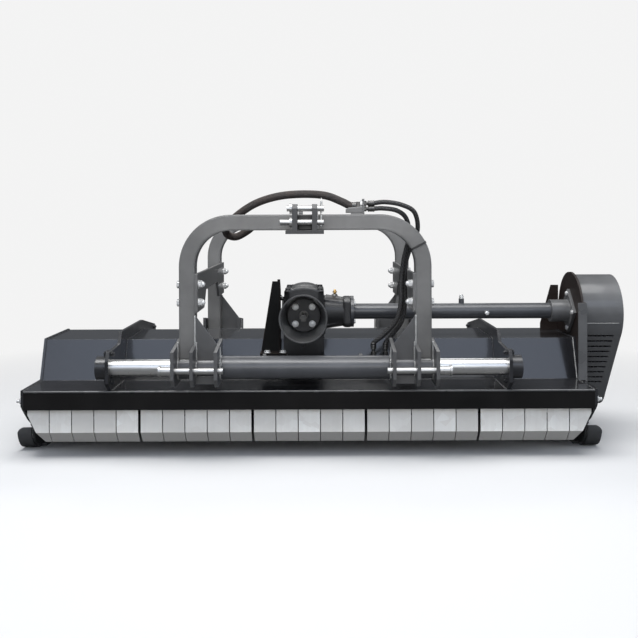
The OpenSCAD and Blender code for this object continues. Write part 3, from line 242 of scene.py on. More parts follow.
def raise_grain(tree, skin, height, edges, depth, strength):
    bump = add_node(tree, "ShaderNodeBump", Distance=depth, Strength=strength)
    tree.links.new(height, bump.inputs["Height"])
    tree.links.new(edges.outputs["Normal"], bump.inputs["Normal"])
    tree.links.new(bump.outputs["Normal"], skin.inputs["Normal"])


def new_skin(name):
    material = bpy.data.materials.new(name)
    material.use_nodes = True
    return material, material.node_tree, material.node_tree.nodes["Principled BSDF"]


def shade_of(colour, share):
    return tuple(min(1, c * share) for c in colour)


def painted(name, colour, gloss, coat=0.0, peel=900.0, wave=6.0, depth=0.0002, edge=0.003,
            worn_and_lit=(0.3, 0.3, 0.3), wear_and_sheen=0.5, dust=0.12, specular=0.5):
    paint, tree, skin = new_skin(name)
    film = place_group(tree, paint_film, Peel=peel, Wave=wave)
    edges = place_group(tree, edge_wear_and_highlight, Radius=edge, Spread=wear_and_sheen)
    base = blend_colours(tree, span(tree, film.outputs["Tone"], 0, 1),
                         shade_of(colour, 1 - TONE_SWING), shade_of(colour, 1 + TONE_SWING))
    base = blend_colours(tree, maths(tree, "MULTIPLY", film.outputs["Dust"], dust), base, DUST_COLOUR)
    # Edge colour along the mask: rubbed paint, and on some paints a painted edge highlight
    base = blend_colours(tree, edges.outputs["Edge"], base, worn_and_lit)
    tree.links.new(base, skin.inputs["Base Color"])
    tree.links.new(span(tree, film.outputs["Tone"], gloss * GLOSS_SHARP, gloss * GLOSS_DULL),
                   skin.inputs["Roughness"])
    skin.inputs["Specular IOR Level"].default_value = specular
    skin.inputs["Coat Weight"].default_value = coat
    skin.inputs["Coat Roughness"].default_value = COAT_ROUGH
    raise_grain(tree, skin, film.outputs["Height"], edges, depth, PAINT_GRAIN)
    return paint


def dress(material, *names):
    for n in names:
        mesh = NODES[n].data
        mesh.materials.clear()
        mesh.materials.append(material)
        for face in mesh.polygons:
            face.material_index = 0


gloss_black = painted("gloss_black", (0.012, 0.0125, 0.015), 0.16, coat=0.6,
                      worn_and_lit=(0.08, 0.08, 0.085), wear_and_sheen=0.7, dust=0.06)
dress(gloss_black, "hood_shell", "left_end_plate", "right_end_plate")
# The beam's lighter edge colour is partly rubbed paint and partly a painted highlight along its top fold
beam_black = painted("beam_black", (0.0055, 0.005, 0.005), 0.4, edge=0.006,
                     worn_and_lit=(0.2, 0.2, 0.2), wear_and_sheen=1.2, dust=0.04, specular=0.2)
dress(beam_black, "front_beam")

# Flaps: 25 stone flaps of galvanised sheet, each rolled round the rod that crosses the beam.
# The zinc shows grey spangles, each flap in its own tone, darker on the lip that is bent under.
FLAP_START, BAY_PITCH, FLAP_PITCH, FLAPS_IN_BAY = -1.32750, 0.50760, 0.09992, 5.0
LIP_TURN = (-0.45, -0.1)
STREAK_STRETCH, STREAK_GRAIN, STREAK_SHARE, STREAK_DARK = (1.0, 1.0, 0.06), 60.0, 0.5, 1.6
FLAP_DARK, LIP_DARK, EDGE_BRIGHT, METAL_GRAIN = 0.72, 0.5, 1.3, 0.5

# Crystals of a zinc coat, and streaks drawn out along the height
spangle, g_in, g_out = effect_group(
    "spangle", [("Size", 70.0)], [("Tone", "Float"), ("Streak", "Float")])
place = add_node(spangle, "ShaderNodeTexCoord")
cells = add_node(spangle, "ShaderNodeTexVoronoi")
spangle.links.new(place.outputs["Object"], cells.inputs["Vector"])
spangle.links.new(g_in.outputs["Size"], cells.inputs["Scale"])
shade = add_node(spangle, "ShaderNodeSeparateColor")
spangle.links.new(cells.outputs["Color"], shade.inputs[0])
spangle.links.new(shade.outputs[0], g_out.inputs["Tone"])
stretch = add_node(spangle, "ShaderNodeMapping", Scale=STREAK_STRETCH)
spangle.links.new(place.outputs["Object"], stretch.inputs["Vector"])
spangle.links.new(noise(spangle, stretch.outputs[0], STREAK_GRAIN, 5.0, 0.6), g_out.inputs["Streak"])


def bare_metal(name, colour, rough, size=70.0, edge=0.002, depth=0.0001, spread=0.12, shine=0.25,
               each=None, metal_share=1.0):
    metal, tree, skin = new_skin(name)
    zinc = place_group(tree, spangle, Size=size)
    edges = place_group(tree, edge_wear_and_highlight, Radius=edge, Spread=1.0)
    base = blend_colours(tree, zinc.outputs["Tone"], shade_of(colour, 1 - spread), shade_of(colour, 1 + spread))
    base = blend_colours(tree, span(tree, zinc.outputs["Streak"], 0.0, STREAK_SHARE), base,
                         shade_of(colour, 1 - STREAK_DARK * spread))
    if each:
        own = place_group(tree, each)
        base = blend_colours(tree, own.outputs["Tone"], base, shade_of(colour, FLAP_DARK))
        base = blend_colours(tree, own.outputs["Lip"], base, shade_of(colour, LIP_DARK))
    base = blend_colours(tree, edges.outputs["Edge"], base, shade_of(colour, EDGE_BRIGHT))
    tree.links.new(base, skin.inputs["Base Color"])
    tree.links.new(span(tree, zinc.outputs["Streak"], rough * (1 - shine), rough * (1 + shine)),
                   skin.inputs["Roughness"])
    skin.inputs["Metallic"].default_value = metal_share
    raise_grain(tree, skin, zinc.outputs["Streak"], edges, depth, METAL_GRAIN)
    return metal


# One tone for each flap, from its place in the row, and a mask of the faces that look down
flap_tone, _, g_out = effect_group("flap_tone", [], [("Tone", "Float"), ("Lip", "Float")])
along_row = add_node(flap_tone, "ShaderNodeSeparateXYZ")
place = add_node(flap_tone, "ShaderNodeTexCoord")
flap_tone.links.new(place.outputs["Object"], along_row.inputs[0])
away = maths(flap_tone, "SUBTRACT", along_row.outputs["X"], FLAP_START)
bay = maths(flap_tone, "FLOOR", maths(flap_tone, "DIVIDE", away, BAY_PITCH))
away = maths(flap_tone, "SUBTRACT", away, maths(flap_tone, "MULTIPLY", bay, BAY_PITCH))
flap = maths(flap_tone, "FLOOR", maths(flap_tone, "DIVIDE", away, FLAP_PITCH))
seed = maths(flap_tone, "ADD", maths(flap_tone, "MULTIPLY", bay, FLAPS_IN_BAY), flap)
chance = add_node(flap_tone, "ShaderNodeTexWhiteNoise", noise_dimensions="1D")
flap_tone.links.new(seed, chance.inputs["W"])
flap_tone.links.new(chance.outputs["Value"], g_out.inputs["Tone"])
facing = add_node(flap_tone, "ShaderNodeSeparateXYZ")
flap_tone.links.new(place.outputs["Normal"], facing.inputs[0])
flap_tone.links.new(span(flap_tone, facing.outputs["Z"], 1.0, 0.0, *LIP_TURN), g_out.inputs["Lip"])
galvanised = bare_metal("galvanised_sheet", (0.95, 0.93, 0.885), 0.46, size=26.0, spread=0.09,
                        each=flap_tone, metal_share=0.12)
dress(galvanised, *["flap_bay_%d" % i for i in range(1, 6)])
bright_zinc = bare_metal("bright_zinc", (0.78, 0.78, 0.77), 0.25, size=400.0, spread=0.05,
                         depth=0.00002, metal_share=0.5)
dress(bright_zinc, "flap_rod")

# Skids, rotor and roller: bent runners of thick plate, a tube for the hammers and a plain roller.
# Painted dark grey, with the paint rubbed thin along the edges.
dark_grey = painted("dark_grey_paint", (0.055, 0.056, 0.058), 0.38, coat=0.15,
                    worn_and_lit=(0.16, 0.16, 0.165), wear_and_sheen=0.8)
dress(dark_grey, "left_skid", "right_skid", "roller_brackets", "rotor", "rear_roller")

# Slide brackets and tubes: cut plates over the hood that hold two hard-chromed tubes.
# Bolted caps close the tube ends, and a plate box carries the gearbox; all but the chrome is painted black.
satin_black = painted("satin_black", (0.014, 0.0145, 0.017), 0.3, coat=0.3,
                      worn_and_lit=(0.1, 0.1, 0.105), wear_and_sheen=0.8)
dress(satin_black, "left_slide_bracket", "right_slide_bracket", "tube_caps", "gearbox_pedestal",
      "cylinder_barrel")
hard_chrome = bare_metal("hard_chrome", (0.68, 0.68, 0.67), 0.29, size=30.0, spread=0.004, shine=0.1,
                         depth=0.00001)
dress(hard_chrome, "front_slide_tube", "rear_slide_tube", "cylinder_rod")

# Carriage: sleeves, lug plates, arches and link plates, cut, bent and welded, painted satin grey.
# It slides on the chrome tubes through bronze bushes and takes the hitch pins.
SLEEVE_AXES, SLEEVE_AXIS_Z, LUG_EDGE_R = {"front_sleeve": -0.4625, "rear_sleeve": 0.4625}, 0.416, 0.053
ZINC_NUT_X = (0.167, 0.178)
# Satin grey and arch grey lighten a band along their edges: rubbed paint, and a painted highlight on the
# rounded corners
satin_grey = painted("satin_grey", (0.128, 0.126, 0.123), 0.33, coat=0.25, edge=0.009,
                     worn_and_lit=(0.3, 0.3, 0.295), wear_and_sheen=1.0)
dress(satin_grey, "left_link_plate", "right_link_plate", "hose_bulkhead")
arch_grey = painted("arch_grey", (0.137, 0.135, 0.131), 0.33, coat=0.3, edge=0.017,
                    worn_and_lit=(0.24, 0.24, 0.235), wear_and_sheen=0.5)
dress(arch_grey, "front_arch", "rear_arch")
sleeve_grey = painted("sleeve_grey", (0.062, 0.064, 0.07), 0.36, coat=0.2,
                      worn_and_lit=(0.22, 0.22, 0.23), wear_and_sheen=0.9)
dress(sleeve_grey, "front_sleeve", "rear_sleeve")
hitch_grey = painted("hitch_grey", (0.028, 0.028, 0.03), 0.4, coat=0.15,
                     worn_and_lit=(0.16, 0.16, 0.165), wear_and_sheen=0.8)
dress(hitch_grey, "front_top_hitch", "rear_top_hitch")
lug_lit_edge_grey = painted("lug_lit_edge_grey", (0.08, 0.08, 0.081), 0.36, coat=0.2,
                   worn_and_lit=(0.22, 0.22, 0.225), wear_and_sheen=0.9)


def dress_part(name, material, belongs):
    mesh = NODES[name].data
    mesh.materials.append(material)
    for face in mesh.polygons:
        if belongs(face):
            face.material_index = 1


# The lug plates' edge faces take a lighter grey than their side faces, which keep the darker sleeve grey: one
# paint, with painted light on the edges and painted shade on the sides
for name, axis_y in SLEEVE_AXES.items():
    dress_part(name, lug_lit_edge_grey, lambda face: abs(face.normal.x) < 0.5 and math.hypot(
        face.center.y - axis_y, face.center.z - SLEEVE_AXIS_Z) > LUG_EDGE_R)
bush_bronze = bare_metal("bush_bronze", (0.55, 0.36, 0.17), 0.35, size=200.0)
dress(bush_bronze, "slide_bushes")
bright_pin = bare_metal("bright_pin", (0.5, 0.5, 0.49), 0.34, size=60.0, spread=0.03, depth=0.00001,
                        metal_share=0.95)
dress(bright_pin, "hitch_pins", "linch_pins", "hammer_bolts")
dark_steel = bare_metal("blackened_steel", (0.11, 0.108, 0.105), 0.34, size=260.0)
dress(dark_steel, "hose_fittings")
dress_part("hose_fittings", bright_zinc, lambda face: ZINC_NUT_X[0] < face.center.x < ZINC_NUT_X[1])

# Gearbox and drive line: a cast case painted black, moulded guards, a painted drive tube.
# The bracket beside the case has bare brown edges. The input shaft is blackened steel; the other shafts,
# gears, pulleys and hammers are plain machined steel.
cast_black = painted("cast_black", (0.024, 0.024, 0.025), 0.4, coat=0.2, peel=170.0, depth=0.0012,
                     edge=0.005, worn_and_lit=(0.1, 0.1, 0.1), wear_and_sheen=0.6)
dress(cast_black, "gearbox_case", "input_flanges", "rotor_bearings")
guard_plastic = painted("guard_plastic", (0.06, 0.06, 0.06), 0.32, peel=500.0, depth=0.0003,
                        edge=0.006, worn_and_lit=(0.16, 0.16, 0.16), wear_and_sheen=0.8)
dress(guard_plastic, "pto_guards")
rusty_black = painted("rusty_black", (0.004, 0.004, 0.004), 0.45, edge=0.006,
                      worn_and_lit=(0.09, 0.045, 0.03), wear_and_sheen=3.0, dust=0.04, specular=0.15)
dress(rusty_black, "gearbox_bracket")
tube_grey = painted("tube_grey", (0.05, 0.052, 0.058), 0.33, coat=0.25, worn_and_lit=(0.2, 0.2, 0.2), wear_and_sheen=0.6)
dress(tube_grey, "drive_tube")
bearing_grey = painted("bearing_grey", (0.095, 0.096, 0.098), 0.33, coat=0.25, peel=170.0,
                       depth=0.0008, worn_and_lit=(0.22, 0.22, 0.22), wear_and_sheen=0.8)
dress(bearing_grey, "drive_bearing")
machined = bare_metal("machined_steel", (0.5, 0.5, 0.49), 0.28, size=120.0)
dress(dark_steel, "pto_shaft")
dress(machined, "bevel_gear", "drive_shaft", "drive_pulley", "rotor_pulley",
      "hammers_1", "hammers_2", "hammers_3", "hammers_4")

# Belt case: a folded sheet guard with cooling slots over five rubber belts, in half-gloss dark grey.
# The plate behind it is brown-black; its front lip gets the guard's lighter grey, a painted highlight where the
# plate catches the light.
LIP_Y, LIP_Z = -0.304, 0.32
guard_grey = painted("guard_grey", (0.092, 0.093, 0.095), 0.3, coat=0.35,
                     worn_and_lit=(0.18, 0.18, 0.19), wear_and_sheen=0.7)
dress(guard_grey, "belt_guard")
back_brown = painted("back_brown", (0.016, 0.011, 0.0095), 0.5, wave=9.0,
                     worn_and_lit=(0.09, 0.05, 0.035), wear_and_sheen=0.8, specular=0.25)
dress(back_brown, "belt_back_plate")
# Painted highlight: the front lip of the dark back plate takes the lighter guard grey
dress_part("belt_back_plate", guard_grey, lambda face: face.center.y < LIP_Y and face.center.z > LIP_Z)
belt_rubber = painted("belt_rubber", (0.015, 0.015, 0.015), 0.7, peel=400.0, depth=0.0004, wear_and_sheen=0.1)
dress(belt_rubber, "v_belts")

# Welds: rippled beads where plates meet the sleeves, legs and hood, painted over.
# Each bead follows its seam, half sunk in the corner.
DECK = Vector((-0.0625, -0.4825, 0))
CARRIAGE = Vector((-0.0775, -0.4825, 0))
LUG_X, LUG_T, LEG_IN, LEG_OUT, LEG_FACE = (572, 490, 385), 15, 488, 558, -15
TUBE_Y, TUBE_Z, SLEEVE_R, REAR = 20, 416, 51, 965
BEAD_SIDES, BEAD_LAG, BEAD_TIP, BEAD_OUT, BEAD_START = 6, 0.0008, 0.25, 0.6, Vector((0.31, 0.57, 0.76))
BEAD_FULL, RIPPLE, RIPPLE_TURN, SWELL, SWELL_TURN = 0.82, 0.18, 2.1, 0.1, 0.37
LEG_BEAD, END_BEAD, PLATE_BEAD, FINE_BEAD, LONG_STEP, FINE_STEP = 4.6, 3.5, 4.0, 2.0, 3.0, 6.0
ALL_ROUND, FRONT_ONLY, ARC_STEPS = (0, 360), (140, 220), 24
LEG_SEAM, LUG_SEAM, EAR_SEAM, INNER_SEAM, FOOT_SEAM = (455, 652), (452, 535), (1029, 1096), (440, 512), 454
LUG_SIDE, EAR_SIDE = 8.1, 54.8
HOOD_LINE = [(8, 315), (255, 315), (320, 500), (676, 500), (850, 315), (957, 315)]
HOOD_END, BRACKET_X, BRACKET_SIDE = 1269.5, 888, 8
GUARD_SEAM = [(1300, 227.4, 580), (1462, 227.4, 580)]
PLATE_SEAM = [(1269, 255, 316), (1269, 320, 501)]


def spot_on(base, x, y, z):
    return base + Vector((x, y, z)) / 1000


def turns(sides):
    return [2 * math.pi * k / sides for k in range(sides)]


def walk(line, side):
    """Each point of a line with its direction and two axes across it that don't twist."""
    last = len(line) - 1
    for i, p in enumerate(line):
        ahead = (line[min(i + 1, last)] - line[max(i - 1, 0)]).normalized()
        side = (side - ahead * side.dot(ahead)).normalized()
        yield p, ahead, side, ahead.cross(side)


def stack(bm, rows):
    """Joins rows of points to a closed skin with a face at each end."""
    count = len(rows[0])
    for low, high in zip(rows, rows[1:]):
        for k in range(count):
            n = (k + 1) % count
            bm.faces.new((low[k], low[n], high[n], high[k]))
    bm.faces.new(rows[0][::-1])
    bm.faces.new(rows[-1])


def bead(bm, base, points, size=PLATE_BEAD, step=2.2):
    corners = [spot_on(base, *p) for p in points]
    line = []
    for a, b in zip(corners, corners[1:]):
        count = max(2, int((b - a).length * 1000 / step))
        line += [a.lerp(b, k / count) for k in range(count)]
    line.append(corners[-1])
    rows = []
    for i, (p, ahead, side, other) in enumerate(walk(line, BEAD_START)):
        ripple = BEAD_FULL + RIPPLE * math.sin(i * RIPPLE_TURN) + SWELL * math.sin(i * SWELL_TURN)
        full = (BEAD_TIP if i in (0, len(line) - 1) else ripple) * size / 1000
        rows.append([bm.verts.new(p + ahead * BEAD_LAG * math.cos(a)
                                  + full * (math.cos(a) * side + math.sin(a) * other))
                     for a in turns(BEAD_SIDES)])
    stack(bm, rows)


def finish_piece(name, bm, material, body, sharp=35):
    bmesh.ops.recalc_face_normals(bm, faces=bm.faces)
    mesh = bpy.data.meshes.new(name)
    bm.to_mesh(mesh)
    bm.free()
    mesh.polygons.foreach_set("use_smooth", [True] * len(mesh.polygons))
    mesh.set_sharp_from_angle(angle=math.radians(sharp))
    mesh.materials.append(material)
    obj = bpy.data.objects.new(name, mesh)
    bpy.context.scene.collection.objects.link(obj)
    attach(obj, body)
    return obj


def arc(x, y, z, radius, start, end):
    angles = [math.radians(start + (end - start) * k / ARC_STEPS) for k in range(ARC_STEPS + 1)]
    return [(x, y + radius * math.cos(a), z + radius * math.sin(a)) for a in angles]


def upright(x, y, heights):
    return [(x, y, z) for z in heights]


def to_rear(points):
    return [(x, REAR - y, z) for x, y, z in points]


welds = bmesh.new()
for s in (-1, 1):
    for x in LUG_X:
        for face in (-1, 1):
            seam = s * (x + face * (LUG_T / 2 + BEAD_OUT))
            sweep = FRONT_ONLY if x == LUG_X[1] else ALL_ROUND
            front = arc(seam, TUBE_Y, TUBE_Z, SLEEVE_R + BEAD_OUT, *sweep)
            bead(welds, CARRIAGE, front)
            bead(welds, CARRIAGE, to_rear(front))
    seams = [upright(s * LEG_IN, LEG_FACE, LEG_SEAM),
             upright(s * (LUG_X[0] - LUG_SIDE), LEG_FACE, LUG_SEAM),
             upright(s * (LUG_X[1] - LUG_SIDE), LEG_FACE, LUG_SEAM),
             [(s * (LEG_IN + 4), LEG_FACE, FOOT_SEAM), (s * (LEG_OUT - 2), LEG_FACE, FOOT_SEAM)],
             upright(s * EAR_SIDE, LEG_FACE, EAR_SEAM),
             upright(s * (LUG_X[2] - LUG_T / 2), LEG_FACE - 3, INNER_SEAM)]
    for seam in seams + [to_rear(seam) for seam in seams]:
        bead(welds, CARRIAGE, seam, LEG_BEAD)
# The carriage beads are coloured pale grey instead of the carriage paint, a painted highlight for the glints
# along their ripples
weld_highlight_grey = painted("weld_highlight_grey", (0.36, 0.36, 0.35), 0.26, coat=0.3, edge=0.001, worn_and_lit=(0.55, 0.55, 0.54))
finish_piece("carriage_welds", welds, weld_highlight_grey, "carriage", 60)
welds = bmesh.new()
for s in (-1, 1):
    bead(welds, DECK, [(s * HOOD_END, y, z) for y, z in HOOD_LINE], END_BEAD, LONG_STEP)
    for face in (-1, 1):
        side_x = s * (BRACKET_X + face * BRACKET_SIDE)
        bead(welds, DECK, [(side_x, y, z) for y, z in HOOD_LINE], PLATE_BEAD, LONG_STEP)
finish_piece("deck_welds", welds, gloss_black, "deck", 60)
# Painted highlight: a seam on the belt guard and one at the right end plate, drawn as pale beads
seam = bmesh.new()
bead(seam, DECK, GUARD_SEAM, FINE_BEAD, FINE_STEP)
bead(seam, DECK, PLATE_SEAM, PLATE_BEAD, LONG_STEP)
finish_piece("highlight_seams", seam, weld_highlight_grey, "deck", 60)

# Skid webs: plates that stand in the curl of each skid and lap the end plate behind it.
# Cut from 10 mm plate, welded to the runner and painted with it.
CURL_Y, CURL_Z, CURL_R, CURL_STEP, CURL_POINTS = 275, 115, 103, 7.6, 11
WEB_FACE, WEB_T = 1280.2, 9.6
WEB_BACK = [(250, 80), (290, 108), (290, 150), (190, 150), (150, 133)]
webs = bmesh.new()
angles = [math.radians(180 + CURL_STEP * k) for k in range(CURL_POINTS)]
web_line = [(CURL_Y + CURL_R * math.cos(a), CURL_Z + CURL_R * math.sin(a)) for a in angles] + WEB_BACK
for s in (-1, 1):
    stack(webs, [[webs.verts.new(spot_on(DECK, s * x, y, z)) for y, z in web_line]
                 for x in (WEB_FACE, WEB_FACE + WEB_T)])
finish_piece("skid_webs", webs, dark_grey, "deck")

# Gearbox casting: the case as it comes from the sand, in cast iron painted black. Its edges are rounded,
# a saddle over the input shaft falls away to the four cover bolts, and the drive tube has a square flange.
CASE_X, CASE_Y, CASE_Z, CASE_HALF = -27, 400, 622, 96
CROWN_FOOT, SHOULDER, SADDLE_HALF, SADDLE_RISE = 66, 106, 68, 30
LID_R, LID_SLOPE, LID_RISE, DECK_TOP = 84, 30, 22, 128
NOSE_FROM, NOSE_LONG, NOSE_FALL = 50, 70, 0.3
FLANGE_FACE, FLANGE_CORE, FLANGE_FLAT, FLANGE_CORNER = 188, 60, 0.95, 1.24
DRIVE_BORE, INPUT_BORE = 24.5, 26
PATTERN_GRAIN, PATTERN_ROUNDS = 0.004, 4


def unit(value):
    return min(1.0, max(0.0, value))


def ream(a, b, bore):
    far_out = math.hypot(a, b)
    if far_out < bore:
        return a * bore / max(far_out, 1), b * bore / max(far_out, 1)
    return a, b


pattern = bpy.data.objects.new("pattern", NODES["gearbox_case"].data.copy())
bpy.context.scene.collection.objects.link(pattern)
sand = pattern.modifiers.new("sand", "REMESH")
sand.mode, sand.voxel_size = "VOXEL", PATTERN_GRAIN
pattern.modifiers.new("rounding", "SMOOTH").iterations = PATTERN_ROUNDS
casting = bmesh.new()
casting.from_object(pattern, bpy.context.evaluated_depsgraph_get())
bpy.data.objects.remove(pattern)
for v in casting.verts:
    x, y, z = (v.co - DECK) * 1000
    x, y, z = x - CASE_X, y - CASE_Y, z - CASE_Z
    if abs(x) < CASE_HALF + 10 and z > CROWN_FOOT:
        lid = unit((LID_R - math.hypot(x, y)) / LID_SLOPE)
        saddle = math.sqrt(max(0.0, 1 - (x / SADDLE_HALF) ** 2))
        saddle *= 1 - NOSE_FALL * unit((-y - NOSE_FROM) / NOSE_LONG)
        new_top = SHOULDER + SADDLE_RISE * saddle - CROWN_FOOT
        z = CROWN_FOOT + (z - CROWN_FOOT) * new_top / (DECK_TOP + LID_RISE * lid - CROWN_FOOT)
    reach = math.hypot(y, z)
    if x > FLANGE_FACE and reach > FLANGE_CORE:
        square = FLANGE_FLAT * min(FLANGE_CORNER, reach / max(abs(y), abs(z)))
        y, z = y * square, z * square
    y, z = ream(y, z, DRIVE_BORE)
    x, z = ream(x, z, INPUT_BORE)
    v.co = spot_on(DECK, x + CASE_X, y + CASE_Y, z + CASE_Z)
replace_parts(finish_piece("gearbox_casting", casting, cast_black, "deck", 80), "gearbox_case")

# Beam fold: the rounded bend along the upper front edge of the beam, where the paint catches the light.
# It is part of the folded sheet, drawn as a slim round bar in a glossier and much lighter black than the beam,
# a painted highlight.
X, Y, Z = Vector((1, 0, 0)), Vector((0, 1, 0)), Vector((0, 0, 1))
ROUND_SIDES = 24
FOLD_START, FOLD_LONG, FOLD_R = (-1268, 2.4, 312.6), 2536, 5.0


def across_axis(along):
    return Z if abs(along.y) > 0.9 else Y


def turned(bm, start, along, profile):
    """A turned form from pairs of distance along its axis and radius, in mm."""
    side = across_axis(along)
    other = along.cross(side)
    stack(bm, [[bm.verts.new(start + along * d / 1000 + r / 1000 * (math.cos(a) * side + math.sin(a) * other))
                for a in turns(ROUND_SIDES)] for d, r in profile])


fold = bmesh.new()
turned(fold, spot_on(DECK, *FOLD_START), X, [(0, FOLD_R), (FOLD_LONG, FOLD_R)])
fold_highlight_black = painted("fold_highlight_black", (0.06, 0.06, 0.06), 0.26, coat=0.7)
finish_piece("beam_fold", fold, fold_highlight_black, "deck", 60)

# Screws of the deck: hexagon heads with turned chamfers on pressed washers, and nuts behind them.
# Bright zinc, black at the tube caps and the gearbox cover, paler at the flanges of the input shaft.
# Each size is the width across flats, the height of the head with its washer and the radius of the shank.
PLATE_SIZE, FOOT_SIZE, INPUT_SIZE = (24, 10, 8), (24, 11, 8), (24, 9, 7)
MIDDLE_SIZE, COVER_SIZE, SMALL_SIZE = (22, 9, 7), (22, 11, 6), (18, 8, 6)
PLATE_NUT, MIDDLE_NUT, SMALL_NUT = 13, 11, 10
HEAD_RIM, HEAD_SLOPE = 0.475, 0.577
WASHER_T, NUT_WASHER_T, WASHER_FLAT, WASHER_WIDE, WASHER_RIM = 2.4, 2.2, 1.8, 0.66, 0.62
THREAD_OUT, THREAD_ROOT, THREAD_START, THREAD_TIP = 4.0, 0.88, 0.9, 0.7
ROD_END, ROD_NUT = (1280, 28, 268), (24, 13)
SKID_BOLT_X, SKID_BOLT_Y, SKID_BOLT_Z = 1290, (340, 530, 700), 76
ROLLER_BOLT_X, ROLLER_BOLT_Y, ROLLER_BOLT_Z = 1292, (855, 945), 245
CAP_BOLT_X, CAP_BOLT_R = 905.5, 63
ROTOR_Y, ROTOR_Z, ROTOR_BOLT, ROTOR_SEAT, ROTOR_BACK = 590, 250, 55, {-1: 1294, 1: 1304}, 1270
CYLINDER_PIN, CYLINDER_NUT = (-895.5, 132, 412), (46, 24)
FOOT_X, FOOT_Y, FOOT_Z = (-199, -126), 220, 449
COVER_X, COVER_Y, COVER_Z = 77, 101, 735
STAY_X, STAY_Y, STAY_Z = -151, 300, (700, 602)
INPUT_BOLT, INPUT_SEAT = 40, 166
NECK_X, NECK_BOLT = 215, 44
BEARING_X, BEARING_R = 1266, 84


def hexagon(bm, start, along, across, high):
    side = across_axis(along)
    other = along.cross(side)
    rim = across * HEAD_RIM
    rows = [[], [], []]
    for a in turns(ROUND_SIDES):
        corner = across / 2 / math.cos((a + math.pi / 6) % (math.pi / 3) - math.pi / 6)
        slant = (corner - rim) * HEAD_SLOPE
        out = math.cos(a) * side + math.sin(a) * other
        for row, d, r in zip(rows, (0, high - slant, high), (corner, corner, rim)):
            row.append(bm.verts.new(start + along * d / 1000 + r / 1000 * out))
    stack(bm, rows)


def thread(bm, start, along, radius, long):
    rows = []
    for k in range(int(long / 2)):
        rows += [(2 * k, radius), (2 * k + 1, radius * THREAD_ROOT)]
    turned(bm, start, along, [(0, radius * THREAD_START)] + rows[1:] + [(long, radius * THREAD_TIP)])


def washer(bm, seat, along, across, thick):
    wide, rim = across * WASHER_WIDE, across * WASHER_RIM
    turned(bm, seat, along, [(0, wide), (WASHER_FLAT, wide), (thick, rim)])


def bolt(bm, base, head, along, size, grip, nut=0.0):
    """A bolt whose head sits at head and whose shank runs against along for grip, then a nut."""
    across, high, shank = size
    seat = spot_on(base, *head)
    washer(bm, seat, along, across, WASHER_T)
    hexagon(bm, seat + along * WASHER_T / 1000, along, across, high - WASHER_T)
    turned(bm, seat + along * 0.001, -along, [(0, shank), (grip + 1, shank)])
    if nut:
        under = seat - along * grip / 1000
        washer(bm, under, -along, across, NUT_WASHER_T)
        hexagon(bm, under - along * NUT_WASHER_T / 1000, -along, across, nut - NUT_WASHER_T)
        thread(bm, under - along * nut / 1000, -along, shank, THREAD_OUT)


def both(middle, away):
    return middle - away, middle + away


screws = bmesh.new()
dark_screws = bmesh.new()
shaft_screws = bmesh.new()
for s in (-1, 1):
    hexagon(screws, spot_on(DECK, s * ROD_END[0], *ROD_END[1:]), s * X, *ROD_NUT)
    for y in SKID_BOLT_Y:
        bolt(screws, DECK, (s * SKID_BOLT_X, y, SKID_BOLT_Z), s * X, PLATE_SIZE, 20, PLATE_NUT)
    for y in ROLLER_BOLT_Y:
        bolt(screws, DECK, (s * ROLLER_BOLT_X, y, ROLLER_BOLT_Z), s * X, PLATE_SIZE, 22, PLATE_NUT)
    for y in (TUBE_Y, REAR - TUBE_Y):
        for z in both(TUBE_Z, CAP_BOLT_R):
            bolt(dark_screws, DECK, (s * CAP_BOLT_X, y, z), s * X, SMALL_SIZE, 25, SMALL_NUT)
    seat = ROTOR_SEAT[s]
    for y in both(ROTOR_Y, ROTOR_BOLT):
        for z in both(ROTOR_Z, ROTOR_BOLT):
            bolt(screws, DECK, (s * seat, y, z), s * X, MIDDLE_SIZE, seat - ROTOR_BACK, MIDDLE_NUT)
hexagon(screws, spot_on(DECK, *CYLINDER_PIN), -X, *CYLINDER_NUT)
for x in FOOT_X:
    bolt(screws, DECK, (x, FOOT_Y, FOOT_Z), Z, FOOT_SIZE, 24, PLATE_NUT)
for x in both(CASE_X, COVER_X):
    for y in both(CASE_Y, COVER_Y):
        bolt(dark_screws, DECK, (x, y, COVER_Z), Z, COVER_SIZE, 8)
for z in STAY_Z:
    bolt(screws, DECK, (STAY_X, STAY_Y, z), -X, MIDDLE_SIZE, 26)
for x in both(CASE_X, INPUT_BOLT):
    for z in both(CASE_Z, INPUT_BOLT):
        bolt(shaft_screws, DECK, (x, CASE_Y - INPUT_SEAT, z), -Y, INPUT_SIZE, 20)
        bolt(shaft_screws, DECK, (x, CASE_Y + INPUT_SEAT, z), Y, INPUT_SIZE, 20)
for y in both(CASE_Y, NECK_BOLT):
    for z in both(CASE_Z, NECK_BOLT):
        bolt(screws, DECK, (NECK_X, y, z), X, SMALL_SIZE, 20)
for a in turns(4):
    bolt(screws, DECK, (BEARING_X, CASE_Y + BEARING_R * math.cos(a), CASE_Z + BEARING_R * math.sin(a)), -X,
         SMALL_SIZE, 24, SMALL_NUT)
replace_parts(finish_piece("deck_screws", screws, bright_zinc, "deck"), "deck_bolts")
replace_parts(finish_piece("black_screws", dark_screws, satin_black, "deck"), "deck_bolts")
pale_zinc = bare_metal("pale_zinc", (0.95, 0.95, 0.93), 0.35, size=400.0, spread=0.05, depth=0.00002,
                       metal_share=0.1)
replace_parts(finish_piece("shaft_screws", shaft_screws, pale_zinc, "deck"), "deck_bolts")

